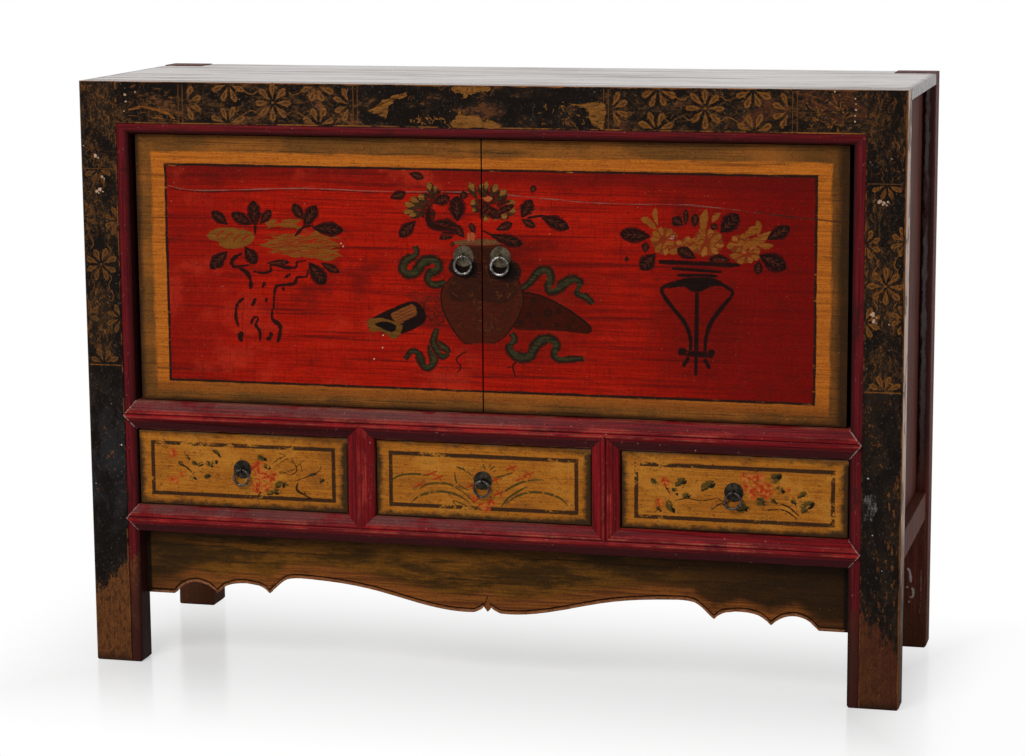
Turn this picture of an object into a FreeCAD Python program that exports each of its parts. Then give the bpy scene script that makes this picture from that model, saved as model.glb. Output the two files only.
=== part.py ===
import FreeCAD, Part
import os
from FreeCAD import Vector

# A low painted sideboard: two plank doors above three drawers, in a pegless frame of mitred
# and tenoned posts and rails. Sizes are in millimetres. While a piece is made, y runs back
# from the face of the front posts; saving moves it so the origin is under the middle.

# Overall size
width = 1200.0
depth = 390.0
height = 865.0

# Posts
post_width = 73.0
post_depth = 38.0
back_post_width = 61.0
back_post_depth = 48.0
back_post_rise = 1.0
post_round = 5.0
foot_chamfer = 3.0

# Roll moulding worked on the inner edge of the front posts and the top rail
bead_width = 17.0
bead_height = 15.0
bead_quirk = 2.0
bead_drop = 4.5

# Heights of the front
opening_top = 790.0
waist_top = 396.6
waist_bottom = 354.6
bottom_top = 240.7
bottom_bottom = 200.9

# Ridged rails and drawer dividers
rail_depth = 36.0
rail_crest = 4.5
rail_shoulder = 12.0
divider_half = 20.0
divider_x = 181.0

# Tenons, tongues and grooves
tenon_length = 30.0
tenon_thickness = 12.0
tenon_y = 14.0
tongue = 6.0
tongue_inset = 5.0
groove = 8.0
house = 5.0
rail_tenon_low = 7.0
rail_tenon_high = 30.0
top_tenon_low = 815.0
top_tenon_high = 850.0
divider_tenon_half = 12.0
divider_tenon_length = 10.0
side_tenon_length = 20.0
back_tenon_length = 26.0

# Apron under the bottom rail
apron_recess = 26.0
apron_thickness = 14.0
apron_flat = 102.0
apron_border = 7.0
apron_carve = 1.2
apron_drop_carve = 2.0
apron_tongue_inset = 3.0
apron_tenon_length = 10.0
apron_tenon_low = 118.0
apron_tenon_high = 188.0

# Sides and back
panel_recess = 19.0
side_panel_thickness = 12.0
back_panel_thickness = 12.0
back_panel_y = 366.0
side_rail_top = 241.0
side_rail_bottom = 201.0
side_rail_recess = 4.0
side_rail_thickness = 36.0
side_tenon_high = 230.0
back_rail_y = 354.0
back_rail_thickness = 28.0
back_top_rail_y = 360.0

# Top boards and cupboard floor
top_thickness = 16.0
top_seam_y = 115.0
floor_top = 390.0
floor_thickness = 12.0

# Drawer runners
runner_top = 240.7
runner_height = 24.0
runner_guide = 22.0
runner_foot = 27.0
runner_guide_width = 33.0
runner_ledge = 18.0
runner_tenon = 12.0

# Doors
door_recess = 14.0
door_thickness = 18.0
door_outer = 520.0
door_gap = 1.0
door_bottom = 398.0
door_top = 788.0
stile_width = 26.0
plank_seam = 697.0
pin_radius = 6.0
pin_length = 12.0
pin_play = 0.3
batten_x = 90.0
batten_half = 20.0
batten_thickness = 14.0
batten_low = 430.0
batten_high = 756.0
dovetail_neck = 13.0
dovetail_half = 16.0
dovetail_depth = 4.0
stop_gap = 0.4
stop_low = 776.0
stop_back = 50.0
plank_shoulder = 20.0

# Drawers
drawer_recess = 8.0
drawer_front_thickness = 18.0
drawer_bottom = 241.2
drawer_top = 352.6
drawer_gap = 2.0
drawer_side = 10.0
drawer_length = 270.0
drawer_side_top = 340.0
drawer_floor = 246.0
drawer_floor_thickness = 5.0
drawer_floor_rim = 4.0
drawer_inset = 1.5
drawer_back_top = 335.0
drawer_back_house = 3.0
drawer_back_end = 2.0
drawer_round = 2.5
tail_lap = 6.0
tail_heights = (266.0, 315.0)
tail_neck = 11.0
tail_half = 15.0

# Ring pulls
plate_thickness = 1.4
plate_bevel = 0.6
ring_wire = 1.85
eye_radius = 3.5
eye_wire = 1.1
shank_radius = 2.0
clinch_length = 9.0
door_pull_x = 27.0
door_pull_z = 622.5
door_plate_radius = 15.2
door_ring_radius = 12.4
drawer_pull_z = 300.0
drawer_plate_radius = 13.6
drawer_ring_radius = 11.4

# Levels that follow from the sizes above
outer = -width / 2
inner = outer + post_width
bead_edge = inner - bead_width
bead_top = opening_top + bead_height
back_inner = outer + back_post_width
back_post_y = depth - back_post_depth
panel_outer = outer + panel_recess
panel_inner = panel_outer + side_panel_thickness
board_bottom = height - top_thickness
door_back = door_recess + door_thickness
pivot_x = -door_outer + stile_width / 2
pivot_y = door_recess + door_thickness / 2
middle_y = (depth - rail_crest) / 2
far = 2000.0


def box(x0, x1, y0, y1, z0, z1):
    return Part.makeBox(x1 - x0, y1 - y0, z1 - z0, Vector(x0, y0, z0))


def sweep(start, steps, along):
    """A closed outline of straight and arc steps, moved along a vector to a solid."""
    edges = []
    here = start
    for step in steps + [[start]]:
        if len(step) == 2:
            edges.append(Part.Arc(here, step[0], step[1]).toShape())
        elif here.distanceToPoint(step[0]) > 1e-6:
            edges.append(Part.makeLine(here, step[0]))
        here = step[-1]
    return Part.Face(Part.Wire(edges)).extrude(along)


def prism(points, along):
    return Part.Face(Part.makePolygon(points + points[:1])).extrude(along)


def front_plate(points, y0, y1):
    """An outline drawn on the front, from depth y0 to depth y1."""
    return prism([Vector(x, y0, z) for x, z in points], Vector(0, y1 - y0, 0))


def plan_plate(points, z0, z1):
    """An outline drawn in plan, from height z0 to height z1."""
    return prism([Vector(x, y, z0) for x, y in points], Vector(0, 0, z1 - z0))


def both(points):
    """A left-hand outline joined to its mirror image."""
    return points + [(-x, y) for x, y in reversed(points)]


def mirror(shape):
    return shape.mirror(Vector(0, 0, 0), Vector(1, 0, 0))


def cut_all(shape, tools):
    for tool in tools:
        shape = shape.cut(tool)
    return shape


def both_sides(shape):
    return [shape, mirror(shape)]


os.makedirs("parts", exist_ok=True)


def save(name, shape):
    placed = shape.copy()
    placed.translate(Vector(0, -middle_y, 0))
    placed.exportStep("parts/" + name + ".step")


# Ridged moulding of the waist rail, bottom rail and dividers: two slopes with fine reeds on the crest.
# Returned as the height above the middle line and the depth from the post face.
def ridge(half):
    slope = rail_crest - 2.0
    reed = half / 7
    return [
        (half, 4.0), (half - 1.5, 1.5), (2 * reed + 2.0, -slope),
        (reed + 1.0, -rail_crest, 2.0, -slope), (-reed + 1.0, -rail_crest, -2 * reed, -slope),
        (-half + 1.5, 1.5), (-half, 4.0),
    ]


def ridge_steps(half, point):
    start = point(half, rail_depth)
    steps = []
    for entry in ridge(half):
        steps.append([point(entry[i], entry[i + 1]) for i in range(0, len(entry), 2)])
    steps.append([point(-half, rail_depth)])
    return start, steps


def ridged_rail(z0, z1):
    """A rail whose front layer ends in points that mitre into the beads of both posts."""
    half = (z1 - z0) / 2
    middle = (z0 + z1) / 2
    start, steps = ridge_steps(half, lambda h, y: Vector(bead_edge, y, middle + h))
    bar = sweep(start, steps, Vector(-2 * bead_edge, 0, 0))
    points = both([(inner, z1), (bead_edge, middle), (inner, z0)])
    pointed = front_plate(points, -far, rail_shoulder)
    square = box(inner, -inner, rail_shoulder, far, z0, z1)
    tenon = box(inner - tenon_length, inner, tenon_y, tenon_y + tenon_thickness,
                z0 + rail_tenon_low, z0 + rail_tenon_high)
    rail = bar.common(pointed).fuse(bar.common(square)).fuse(both_sides(tenon))
    notch = front_plate(points, -rail_crest - 1, rail_shoulder)
    return rail.removeSplitter(), notch


def divider(x):
    """An upright between the two ridged rails, pointed at both ends in the same way."""
    tip_low = bottom_top - divider_half
    tip_high = waist_bottom + divider_half
    start, steps = ridge_steps(divider_half, lambda h, y: Vector(x - h, y, tip_low))
    bar = sweep(start, steps, Vector(0, 0, tip_high - tip_low))
    left, right = x - divider_half, x + divider_half
    points = [(x, tip_low), (right, bottom_top), (right, waist_bottom),
              (x, tip_high), (left, waist_bottom), (left, bottom_top)]
    pointed = front_plate(points, -far, rail_shoulder)
    square = box(left, right, rail_shoulder, far, bottom_top, waist_bottom)
    tenon = box(x - divider_tenon_half, x + divider_tenon_half, tenon_y, tenon_y + tenon_thickness,
                bottom_top - divider_tenon_length, waist_bottom + divider_tenon_length)
    shape = bar.common(pointed).fuse(bar.common(square)).fuse(tenon)
    notch = front_plate(points, -rail_crest - 1, rail_shoulder)
    return shape.removeSplitter(), notch.fuse(tenon)


# Top rail with its roll moulding, mitred into the post beads
start = Vector(bead_edge, rail_depth, height)
steps = [
    [Vector(bead_edge, 0, height)],
    [Vector(bead_edge, 0, bead_top)],
    [Vector(bead_edge, bead_quirk, bead_top - 0.8)],
    [Vector(bead_edge, 0.2, bead_top - 8), Vector(bead_edge, bead_drop, opening_top)],
    [Vector(bead_edge, rail_depth, opening_top)],
]
top_rail = sweep(start, steps, Vector(-2 * bead_edge, 0, 0))
shoulder = both([(bead_edge, height), (bead_edge, bead_top), (inner, opening_top)])
top_rail = top_rail.common(front_plate(shoulder, -1, far))
top_tenon = box(bead_edge - tenon_length, bead_edge, tenon_y, tenon_y + tenon_thickness,
                top_tenon_low, top_tenon_high)
top_rail = top_rail.fuse(both_sides(top_tenon)).removeSplitter()

waist_rail, waist_notch = ridged_rail(waist_bottom, waist_top)
bottom_rail, bottom_notch = ridged_rail(bottom_bottom, bottom_top)
divider_left, divider_notch = divider(-divider_x)
divider_right = mirror(divider_left)

# Apron: a board with a scalloped lower edge, a sunk border along it and a carved drop at the middle
apron_curves = [
    [(0, 101), (5.5, 108.5)],
    [(5.5, 108.5), (11, 104), (20, 99.8)],
    [(20, 99.8), (60, 101), (110, 110), (170, 124), (225, 132), (270, 135), (305, 133), (333, 110)],
    [(333, 110), (345, 119), (375, 123), (400, 118), (415, 106)],
    [(415, 106), (430, 117), (450, 121), (469, 115), (483, apron_flat)],
    [(483, apron_flat), (-inner, apron_flat)],
    [(-inner, apron_flat), (-inner, bottom_bottom)],
]


def curve(points, side):
    poles = [Vector(side * x, apron_recess, z) for x, z in points]
    if len(poles) == 2:
        return Part.makeLine(poles[0], poles[1])
    line = Part.BSplineCurve()
    line.interpolate(poles)
    return line.toShape()


apron_edges = [curve(points, 1) for points in apron_curves]
apron_edges.append(curve([(-inner, bottom_bottom), (inner, bottom_bottom)], 1))
apron_edges += [curve(points, -1) for points in reversed(apron_curves)]
apron_face = Part.Face(Part.Wire(Part.__sortEdges__(apron_edges)))
apron = apron_face.extrude(Vector(0, apron_thickness, 0))
skin = apron_face.extrude(Vector(0, apron_carve, 0))
raised = skin.copy()
raised.translate(Vector(0, 0, apron_border))
drop = front_plate([(0, 101), (5.5, 108.5), (0, 126), (-5.5, 108.5)], apron_recess,
                   apron_recess + apron_drop_carve)
apron = apron.cut(skin.cut(raised)).cut(drop)
apron_tongue_y = apron_recess + apron_tongue_inset
apron_top = box(inner, -inner, apron_tongue_y, apron_tongue_y + tongue,
                bottom_bottom, bottom_bottom + tongue)
apron_end = box(inner - apron_tenon_length, inner, apron_tongue_y, apron_tongue_y + tongue,
                apron_tenon_low, apron_tenon_high)
apron = apron.fuse([apron_top] + both_sides(apron_end)).removeSplitter()

# Sides: a thin panel in grooves above a tenoned rail
side_panel = box(panel_outer, panel_inner, post_depth - groove, back_post_y + groove,
                 side_rail_top - groove, board_bottom)
rail_outer = outer + side_rail_recess
side_rail = box(rail_outer, rail_outer + side_rail_thickness, post_depth, back_post_y,
                side_rail_bottom, side_rail_top)
side_tenon_x = rail_outer + tenon_thickness
side_tenon = box(side_tenon_x, side_tenon_x + tenon_thickness, post_depth - side_tenon_length,
                 back_post_y + side_tenon_length, side_rail_bottom + rail_tenon_low, side_tenon_high)
side_rail = side_rail.fuse(side_tenon).removeSplitter().cut(side_panel)

# Back: a panel in grooves between two tenoned rails
back_panel = box(back_inner - groove, -back_inner + groove, back_panel_y,
                 back_panel_y + back_panel_thickness, side_rail_top - groove, bead_top + groove)
back_rail = box(back_inner, -back_inner, back_rail_y, back_rail_y + back_rail_thickness,
                side_rail_bottom, side_rail_top)
back_tenon = box(back_inner - back_tenon_length, back_inner, back_rail_y + tongue,
                 back_rail_y + tongue + tenon_thickness, side_rail_bottom + rail_tenon_low, side_tenon_high)
back_rail = back_rail.fuse(both_sides(back_tenon)).removeSplitter().cut(back_panel)
back_top_rail = box(back_inner, -back_inner, back_top_rail_y, depth, bead_top, height)
back_top_tenon = box(back_inner - back_tenon_length, back_inner, depth - tenon_thickness - groove,
                     depth - groove, top_tenon_low + groove, top_tenon_high)
back_top_rail = back_top_rail.fuse(both_sides(back_top_tenon)).removeSplitter().cut(back_panel)

# Top: two boards let in flush between the front and back rails, with their ends showing at the sides
tongue_low = board_bottom + tongue_inset
tongue_high = tongue_low + tongue
top_front = plan_plate(both([(bead_edge, rail_depth), (bead_edge, post_depth), (outer, post_depth),
                             (outer, top_seam_y)]), board_bottom, height)
front_tongue = box(inner, -inner, rail_depth - tongue, rail_depth, tongue_low, tongue_high)
top_front = top_front.fuse(front_tongue).removeSplitter()
top_back = plan_plate(both([(outer, top_seam_y), (outer, back_post_y), (back_inner, back_post_y),
                            (back_inner, back_top_rail_y)]), board_bottom, height)
seam_tongue = box(outer, -outer, top_seam_y - tongue, top_seam_y, tongue_low, tongue_high)
rear_tongue = box(back_inner, -back_inner, back_top_rail_y, back_top_rail_y + tongue,
                  tongue_low, tongue_high)
top_back = top_back.fuse([seam_tongue, rear_tongue]).removeSplitter()
top_front = top_front.cut(top_back)
top_rail = top_rail.cut(top_front)
back_top_rail = back_top_rail.cut(top_back)

# Cupboard floor, housed in the sides, the back and the waist rail
floor_bottom = floor_top - floor_thickness
cupboard_floor = plan_plate(both([
    (inner, rail_depth), (inner, post_depth), (panel_inner - house, post_depth),
    (panel_inner - house, back_post_y), (back_inner, back_post_y), (back_inner, back_panel_y + house),
]), floor_bottom, floor_top)
floor_tongue = box(inner, -inner, rail_depth - tongue, rail_depth,
                   floor_bottom + tongue / 2, floor_top - tongue / 2)
cupboard_floor = cupboard_floor.fuse(floor_tongue).removeSplitter()
side_panel = side_panel.cut(cupboard_floor)
back_panel = back_panel.cut(cupboard_floor)
waist_rail = waist_rail.cut(cupboard_floor)


# Drawer runners: an L-section at each end and an inverted T behind each divider
def runner(foot, guide, tenon, end):
    low = runner_top - runner_height
    base = box(foot[0], foot[1], post_depth, end, low, runner_top)
    rise = box(guide[0], guide[1], post_depth, end, low, runner_top + runner_guide)
    key = box(tenon[0], tenon[1], rail_depth - runner_tenon, back_rail_y + runner_tenon, low + 3, low + 13)
    return base.fuse([rise, key]).removeSplitter()


def about(middle, half):
    return middle - half, middle + half


runner_end = runner((inner - runner_guide_width, inner + runner_foot), (inner - runner_guide_width, inner),
                    (inner + 2, inner + 22), back_post_y)
runner_middle = runner(about(-divider_x, divider_half + runner_ledge), about(-divider_x, divider_half - 1),
                       about(-divider_x, divider_tenon_half), back_rail_y)
runners = both_sides(runner_end) + both_sides(runner_middle)

# Stop strip behind the tops of the doors
stop_front = door_back + stop_gap
stop_outline = [(stop_front, stop_low), (stop_back, stop_low), (stop_back, bead_top),
                (rail_depth, bead_top), (rail_depth, opening_top), (stop_front, opening_top)]
stop_end = -door_outer + stile_width + 4
door_stop = prism([Vector(stop_end, y, z) for y, z in stop_outline], Vector(-2 * stop_end, 0, 0))

# Round sockets in the rails for the door pins
socket_radius = pin_radius + pin_play
socket_depth = pin_length + 1.0
high_socket = Part.makeCylinder(socket_radius, socket_depth, Vector(pivot_x, pivot_y, opening_top))
low_socket = Part.makeCylinder(socket_radius, socket_depth,
                               Vector(pivot_x, pivot_y, waist_top - socket_depth))
top_rail = cut_all(top_rail, both_sides(high_socket))
waist_rail = cut_all(waist_rail, both_sides(low_socket) + both_sides(divider_notch))
bottom_rail = cut_all(bottom_rail, both_sides(divider_notch) + runners + [apron])
back_rail = cut_all(back_rail, runners)

# Front posts: a flat face with a roll along the inner edge, cut for every joint
start = Vector(outer, post_depth, 0)
turn = post_round * (1 - 0.5 ** 0.5)
steps = [
    [Vector(outer, post_round, 0)],
    [Vector(outer + turn, turn, 0), Vector(outer + post_round, 0, 0)],
    [Vector(bead_edge, 0, 0)],
    [Vector(bead_edge + 0.8, bead_quirk, 0)],
    [Vector(bead_edge + 8, 0.2, 0), Vector(inner, bead_drop, 0)],
    [Vector(inner, post_depth, 0)],
]
front_post = sweep(start, steps, Vector(0, 0, height))
head = front_plate([(bead_edge, bead_top), (inner, opening_top), (0, opening_top),
                    (0, far), (bead_edge, far)], -1, far)
front_post = front_post.cut(head)
front_post = cut_all(front_post, [top_tenon, waist_notch, bottom_notch, waist_rail, bottom_rail,
                                  apron, side_panel, side_rail])

# Back posts: plain, standing a little above the top
back_post = box(outer, back_inner, back_post_y, depth, 0, height + back_post_rise)
upright = [e for e in back_post.Edges if e.BoundBox.ZLength > height and e.BoundBox.XMax < outer + 1]
back_post = back_post.makeFillet(post_round, upright)
back_post = cut_all(back_post, [side_panel, side_rail, back_panel, back_rail, back_top_rail])


def ease_foot(post):
    """Bevels the edges under a foot."""
    room = post.BoundBox
    block = box(room.XMin, room.XMax, room.YMin, room.YMax, 0, room.ZMax)
    under = [e for e in block.Edges if e.BoundBox.ZMax < 1e-6]
    return post.common(block.makeChamfer(foot_chamfer, under))


back_post = ease_foot(back_post)
front_post = ease_foot(front_post)

for side, turned in (("left", lambda s: s), ("right", mirror)):
    save("front_post_" + side, turned(front_post))
    save("back_post_" + side, turned(back_post))
    save("side_panel_" + side, turned(side_panel))
    save("side_rail_" + side, turned(side_rail))
    save("drawer_divider_" + side, turned(divider_left))
    save("drawer_runner_end_" + side, turned(runner_end))
    save("drawer_runner_middle_" + side, turned(runner_middle))

for name, shape in (("top_front_rail", top_rail), ("top_back_rail", back_top_rail),
                    ("top_board_front", top_front), ("top_board_back", top_back),
                    ("waist_rail", waist_rail), ("bottom_rail", bottom_rail), ("front_apron", apron),
                    ("back_panel", back_panel), ("back_rail", back_rail),
                    ("cupboard_floor", cupboard_floor), ("door_stop", door_stop)):
    save(name, shape)


# Ring pull: a disc, a split pin bent to an eye and clinched behind, and a free ring
def pull(x, z, face, back, plate_radius, ring_radius):
    eye_y = face - plate_thickness - eye_radius - eye_wire - 0.1
    plate = Part.makeCylinder(plate_radius, plate_thickness, Vector(x, face, z), Vector(0, -1, 0))
    rim = [e for e in plate.Edges if e.BoundBox.YMax < face - plate_thickness + 1e-3 and e.Closed]
    plate = plate.makeChamfer(plate_bevel, rim)
    eye = Part.makeTorus(eye_radius, eye_wire, Vector(x, eye_y, z), Vector(1, 0, 0))
    shank_start = eye_y + eye_radius
    shank_length = back + 2 * eye_wire - shank_start
    shank = Part.makeCylinder(shank_radius, shank_length, Vector(x, shank_start, z), Vector(0, 1, 0))
    clinch = Part.makeCylinder(eye_wire, 2 * clinch_length, Vector(x, back + eye_wire, z - clinch_length))
    eye_hole = Part.makeCylinder(eye_radius - eye_wire, 8, Vector(x - 4, eye_y, z), Vector(1, 0, 0))
    staple = eye.fuse([shank, clinch]).cut(eye_hole)
    ring = Part.makeTorus(ring_radius, ring_wire, Vector(x, eye_y, z - ring_radius), Vector(0, 1, 0))
    hole = Part.makeCylinder(shank_radius, back - face + 4, Vector(x, face - 3, z), Vector(0, 1, 0))
    return plate.cut(hole), staple, ring, hole


# Doors: planks tongued into an upright stile that turns on its own round pins, with one batten behind
plank_end = -door_gap
stile = box(-door_outer, -door_outer + stile_width, door_recess, door_back, door_bottom, door_top)
pins = [Part.makeCylinder(pin_radius, pin_length, Vector(pivot_x, pivot_y, door_top)),
        Part.makeCylinder(pin_radius, pin_length, Vector(pivot_x, pivot_y, door_bottom - pin_length))]
stile = stile.fuse(pins)
plank_start = -door_outer + stile_width
tongue_y = pivot_y - tongue / 2
lower = box(plank_start, plank_end, door_recess, door_back, door_bottom, plank_seam)
lower_end = box(plank_start - groove, plank_start, tongue_y, tongue_y + tongue,
                door_bottom + plank_shoulder, plank_seam)
lower_top = box(plank_start, plank_end, tongue_y, tongue_y + tongue, plank_seam, plank_seam + tongue)
lower = lower.fuse([lower_end, lower_top]).removeSplitter()
upper = box(plank_start, plank_end, door_recess, door_back, plank_seam, door_top)
upper_end = box(plank_start - groove, plank_start, tongue_y, tongue_y + tongue,
                plank_seam + tongue, door_top - plank_shoulder)
upper = upper.fuse(upper_end).removeSplitter().cut(lower)
batten_outline = both([(-dovetail_half, door_back - dovetail_depth), (-dovetail_neck, door_back),
                       (-batten_half, door_back), (-batten_half, door_back + batten_thickness)])
batten = plan_plate([(x - batten_x, y) for x, y in batten_outline], batten_low, batten_high)
stile = cut_all(stile, [lower, upper]).removeSplitter()
plate, staple, ring, hole = pull(-door_pull_x, door_pull_z, door_recess, door_back,
                                 door_plate_radius, door_ring_radius)
lower = cut_all(lower, [batten, hole])
upper = upper.cut(batten)

for side, turned in (("left", lambda s: s), ("right", mirror)):
    for piece, shape in (("stile", stile), ("plank_lower", lower), ("plank_upper", upper),
                         ("batten", batten), ("pull_plate", plate), ("pull_staple", staple),
                         ("pull_ring", ring)):
        save("door_" + side + "_" + piece, turned(shape))


# Drawers: a thick front, dovetailed sides, a housed back and a thin bottom in grooves
def drawer(name, x0, x1):
    face = drawer_recess
    rear = face + drawer_front_thickness
    end = rear + drawer_length
    board = box(x0, x1, face, rear, drawer_bottom, drawer_top)
    rim = [e for e in board.Edges if e.BoundBox.YMax < face + 1e-3]
    board = board.makeFillet(drawer_round, rim)
    in0 = x0 + drawer_inset + drawer_side
    in1 = x1 - drawer_inset - drawer_side
    sides = []
    for left in (x0 + drawer_inset, in1):
        side = box(left, left + drawer_side, rear, end, drawer_bottom, drawer_side_top)
        for middle in tail_heights:
            tail = [(rear, middle - tail_neck), (face + tail_lap, middle - tail_half),
                    (face + tail_lap, middle + tail_half), (rear, middle + tail_neck)]
            side = side.fuse(prism([Vector(left, y, z) for y, z in tail], Vector(drawer_side, 0, 0)))
        sides.append(side.removeSplitter())
    base_top = drawer_floor + drawer_floor_thickness
    base = box(in0 - drawer_floor_rim, in1 + drawer_floor_rim, rear - drawer_floor_rim, end,
               drawer_floor, base_top)
    back_y = end - drawer_back_end - drawer_side
    back = box(in0 - drawer_back_house, in1 + drawer_back_house, back_y, back_y + drawer_side,
               base_top, drawer_back_top)
    middle_x = (x0 + x1) / 2
    plate, staple, ring, hole = pull(middle_x, drawer_pull_z, face, rear,
                                     drawer_plate_radius, drawer_ring_radius)
    board = cut_all(board, sides + [base, hole])
    sides = [cut_all(side, [base, back]) for side in sides]
    for piece, shape in (("front", board), ("sides", Part.makeCompound(sides)), ("back", back),
                         ("bottom", base), ("pull_plate", plate), ("pull_staple", staple),
                         ("pull_ring", ring)):
        save("drawer_" + name + "_" + piece, shape)


side_front = (inner + drawer_gap, -divider_x - divider_half - drawer_gap)
drawer("left", side_front[0], side_front[1])
drawer("middle", -divider_x + divider_half + drawer_gap, divider_x - divider_half - drawer_gap)
drawer("right", -side_front[1], -side_front[0])
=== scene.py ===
import bpy
import math
import random
from mathutils import Matrix, Vector


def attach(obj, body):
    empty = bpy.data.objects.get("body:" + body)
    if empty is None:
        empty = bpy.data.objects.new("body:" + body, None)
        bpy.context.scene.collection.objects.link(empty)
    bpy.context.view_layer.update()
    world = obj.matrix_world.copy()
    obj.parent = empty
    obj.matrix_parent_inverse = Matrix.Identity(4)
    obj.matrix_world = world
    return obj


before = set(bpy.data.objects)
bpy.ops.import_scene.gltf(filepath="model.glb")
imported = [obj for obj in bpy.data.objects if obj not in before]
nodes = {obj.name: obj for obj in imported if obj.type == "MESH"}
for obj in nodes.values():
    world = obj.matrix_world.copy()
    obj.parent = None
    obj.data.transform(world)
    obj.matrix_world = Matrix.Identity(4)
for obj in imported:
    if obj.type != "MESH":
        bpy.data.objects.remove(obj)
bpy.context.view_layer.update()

# Front posts: straight square timbers with a roll worked on the inner edge. They are painted black,
# with the roll in dark red, and worn to brown wood at the arrises and the feet. All colours are worked
# out from places on the piece, in metres, so the paint stays put when a body moves.
FRONT = -0.19275
PLAIN_WOOD = (0.30, 0.18, 0.085)
PLAIN_WOOD_DARK = (0.19, 0.105, 0.046)


class Paint:
    """A surface whose colour, gloss and relief come from places on the piece."""

    def __init__(self, name):
        self.material = bpy.data.materials.new(name)
        self.material.use_nodes = True
        self.tree = self.material.node_tree
        self.tree.nodes.clear()
        here = self.add("ShaderNodeTexCoord")
        self.place = here.outputs["Object"]
        self.x, self.y, self.z = self.add("ShaderNodeSeparateXYZ", self.place).outputs
        self.facing = self.add("ShaderNodeSeparateXYZ", here.outputs["Normal"]).outputs
        self.wide = self.math("ABSOLUTE", self.x)

    def add(self, kind, *inputs, **settings):
        """A node of the paint, with its inputs in order."""
        node = self.tree.nodes.new(kind)
        for key, value in settings.items():
            setattr(node, key, value)
        for socket, value in zip(node.inputs, inputs):
            self.put(socket, value)
        return node

    def put(self, socket, value):
        """Links a socket to another one, or sets its value."""
        if isinstance(value, bpy.types.NodeSocket):
            self.tree.links.new(value, socket)
        elif value is not None:
            socket.default_value = value

    def math(self, operation, a, b=0.5, c=0.5):
        """One step of arithmetic."""
        return self.add("ShaderNodeMath", a, b, c, operation=operation).outputs[0]

    def noise(self, stretch, detail=4.0, rough=0.6, shift=0.0, warp=0.0):
        """Cloudy variation from 0 to 1; stretch is the number of clouds in a metre each way."""
        moved = self.add("ShaderNodeVectorMath", self.place, stretch, (shift, shift * 1.7, shift * 0.6),
                         operation="MULTIPLY_ADD").outputs[0]
        cloud = self.add("ShaderNodeTexNoise", moved)
        cloud.inputs["Scale"].default_value = 1.0
        cloud.inputs["Detail"].default_value = detail
        cloud.inputs["Roughness"].default_value = rough
        cloud.inputs["Distortion"].default_value = warp
        return cloud.outputs["Fac"]

    def step(self, value, low, high):
        """0 below low, 1 above high, smooth between."""
        node = self.add("ShaderNodeMapRange", value, low, high, 0.0, 1.0, interpolation_type="SMOOTHSTEP")
        return node.outputs[0]

    def band(self, value, low, high, soft):
        """1 between low and high, with soft edges."""
        return self.math("MULTIPLY", self.step(value, low - soft, low + soft),
                         self.step(value, high + soft, high - soft))

    def mix(self, a, b, factor):
        """Colour a, turned to colour b by the factor."""
        node = self.add("ShaderNodeMix", data_type="RGBA")
        self.put(node.inputs["Factor"], factor)
        self.put(node.inputs[6], a if isinstance(a, bpy.types.NodeSocket) else (*a, 1.0))
        self.put(node.inputs[7], b if isinstance(b, bpy.types.NodeSocket) else (*b, 1.0))
        return node.outputs[2]

    def times(self, *values):
        """The product of all the values."""
        out = values[0]
        for value in values[1:]:
            out = self.math("MULTIPLY", out, value)
        return out

    def most(self, *values):
        """The largest of all the values."""
        out = values[0]
        for value in values[1:]:
            out = self.math("MAXIMUM", out, value)
        return out

    def sum(self, a, b, weight=1.0):
        """The value a, with b added by its weight."""
        return self.math("MULTIPLY_ADD", b, weight, a)

    def grit(self, colour, dark, pale, amount, shift):
        """Fine dirt and rubbing over a coat: dark specks, and fewer pale ones."""
        fine = self.noise((430, 430, 430), 5.0, 0.76, shift)
        colour = self.mix(colour, dark, self.times(self.step(fine, 0.50, 0.64), amount))
        return self.mix(colour, pale, self.times(self.step(fine, 0.43, 0.31), amount * 0.6))

    def cracks(self, colour, dark, stretch, amount, shift):
        """Fine broken lines of dirt in old paint, drawn out along the grain."""
        lines = self.band(self.noise(stretch, 4.0, 0.62, shift, 0.3), 0.492, 0.508, 0.006)
        broken = self.step(self.noise((40, 40, 40), 3.0, 0.6, shift + 1.0), 0.44, 0.58)
        return self.mix(colour, dark, self.times(lines, broken, amount))

    def bare_back(self, colour, grain):
        """Leaves the faces that look to the back as unpainted wood."""
        wood = self.mix(PLAIN_WOOD, PLAIN_WOOD_DARK, self.step(grain, 0.38, 0.64))
        return self.mix(colour, wood, self.step(self.facing[1], 0.5, 0.8))

    def finish(self, colour, gloss, relief, depth=0.0004, metal=0.0, shine=0.035):
        """gloss is the roughness; relief is a height from 0 to 1 that stands for depth metres."""
        surface = self.add("ShaderNodeBsdfPrincipled")
        self.put(surface.inputs["Base Color"], colour)
        self.put(surface.inputs["Roughness"], gloss)
        surface.inputs["Metallic"].default_value = metal
        surface.inputs["Specular IOR Level"].default_value = shine
        bump = self.add("ShaderNodeBump")
        bump.inputs["Strength"].default_value = 1.0
        bump.inputs["Distance"].default_value = depth
        self.put(bump.inputs["Height"], relief)
        self.put(surface.inputs["Normal"], bump.outputs[0])
        out = self.add("ShaderNodeOutputMaterial")
        self.put(out.inputs["Surface"], surface.outputs[0])
        return self.material


SAME_POINT = 0.00002
SHARP = math.radians(40)


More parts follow.
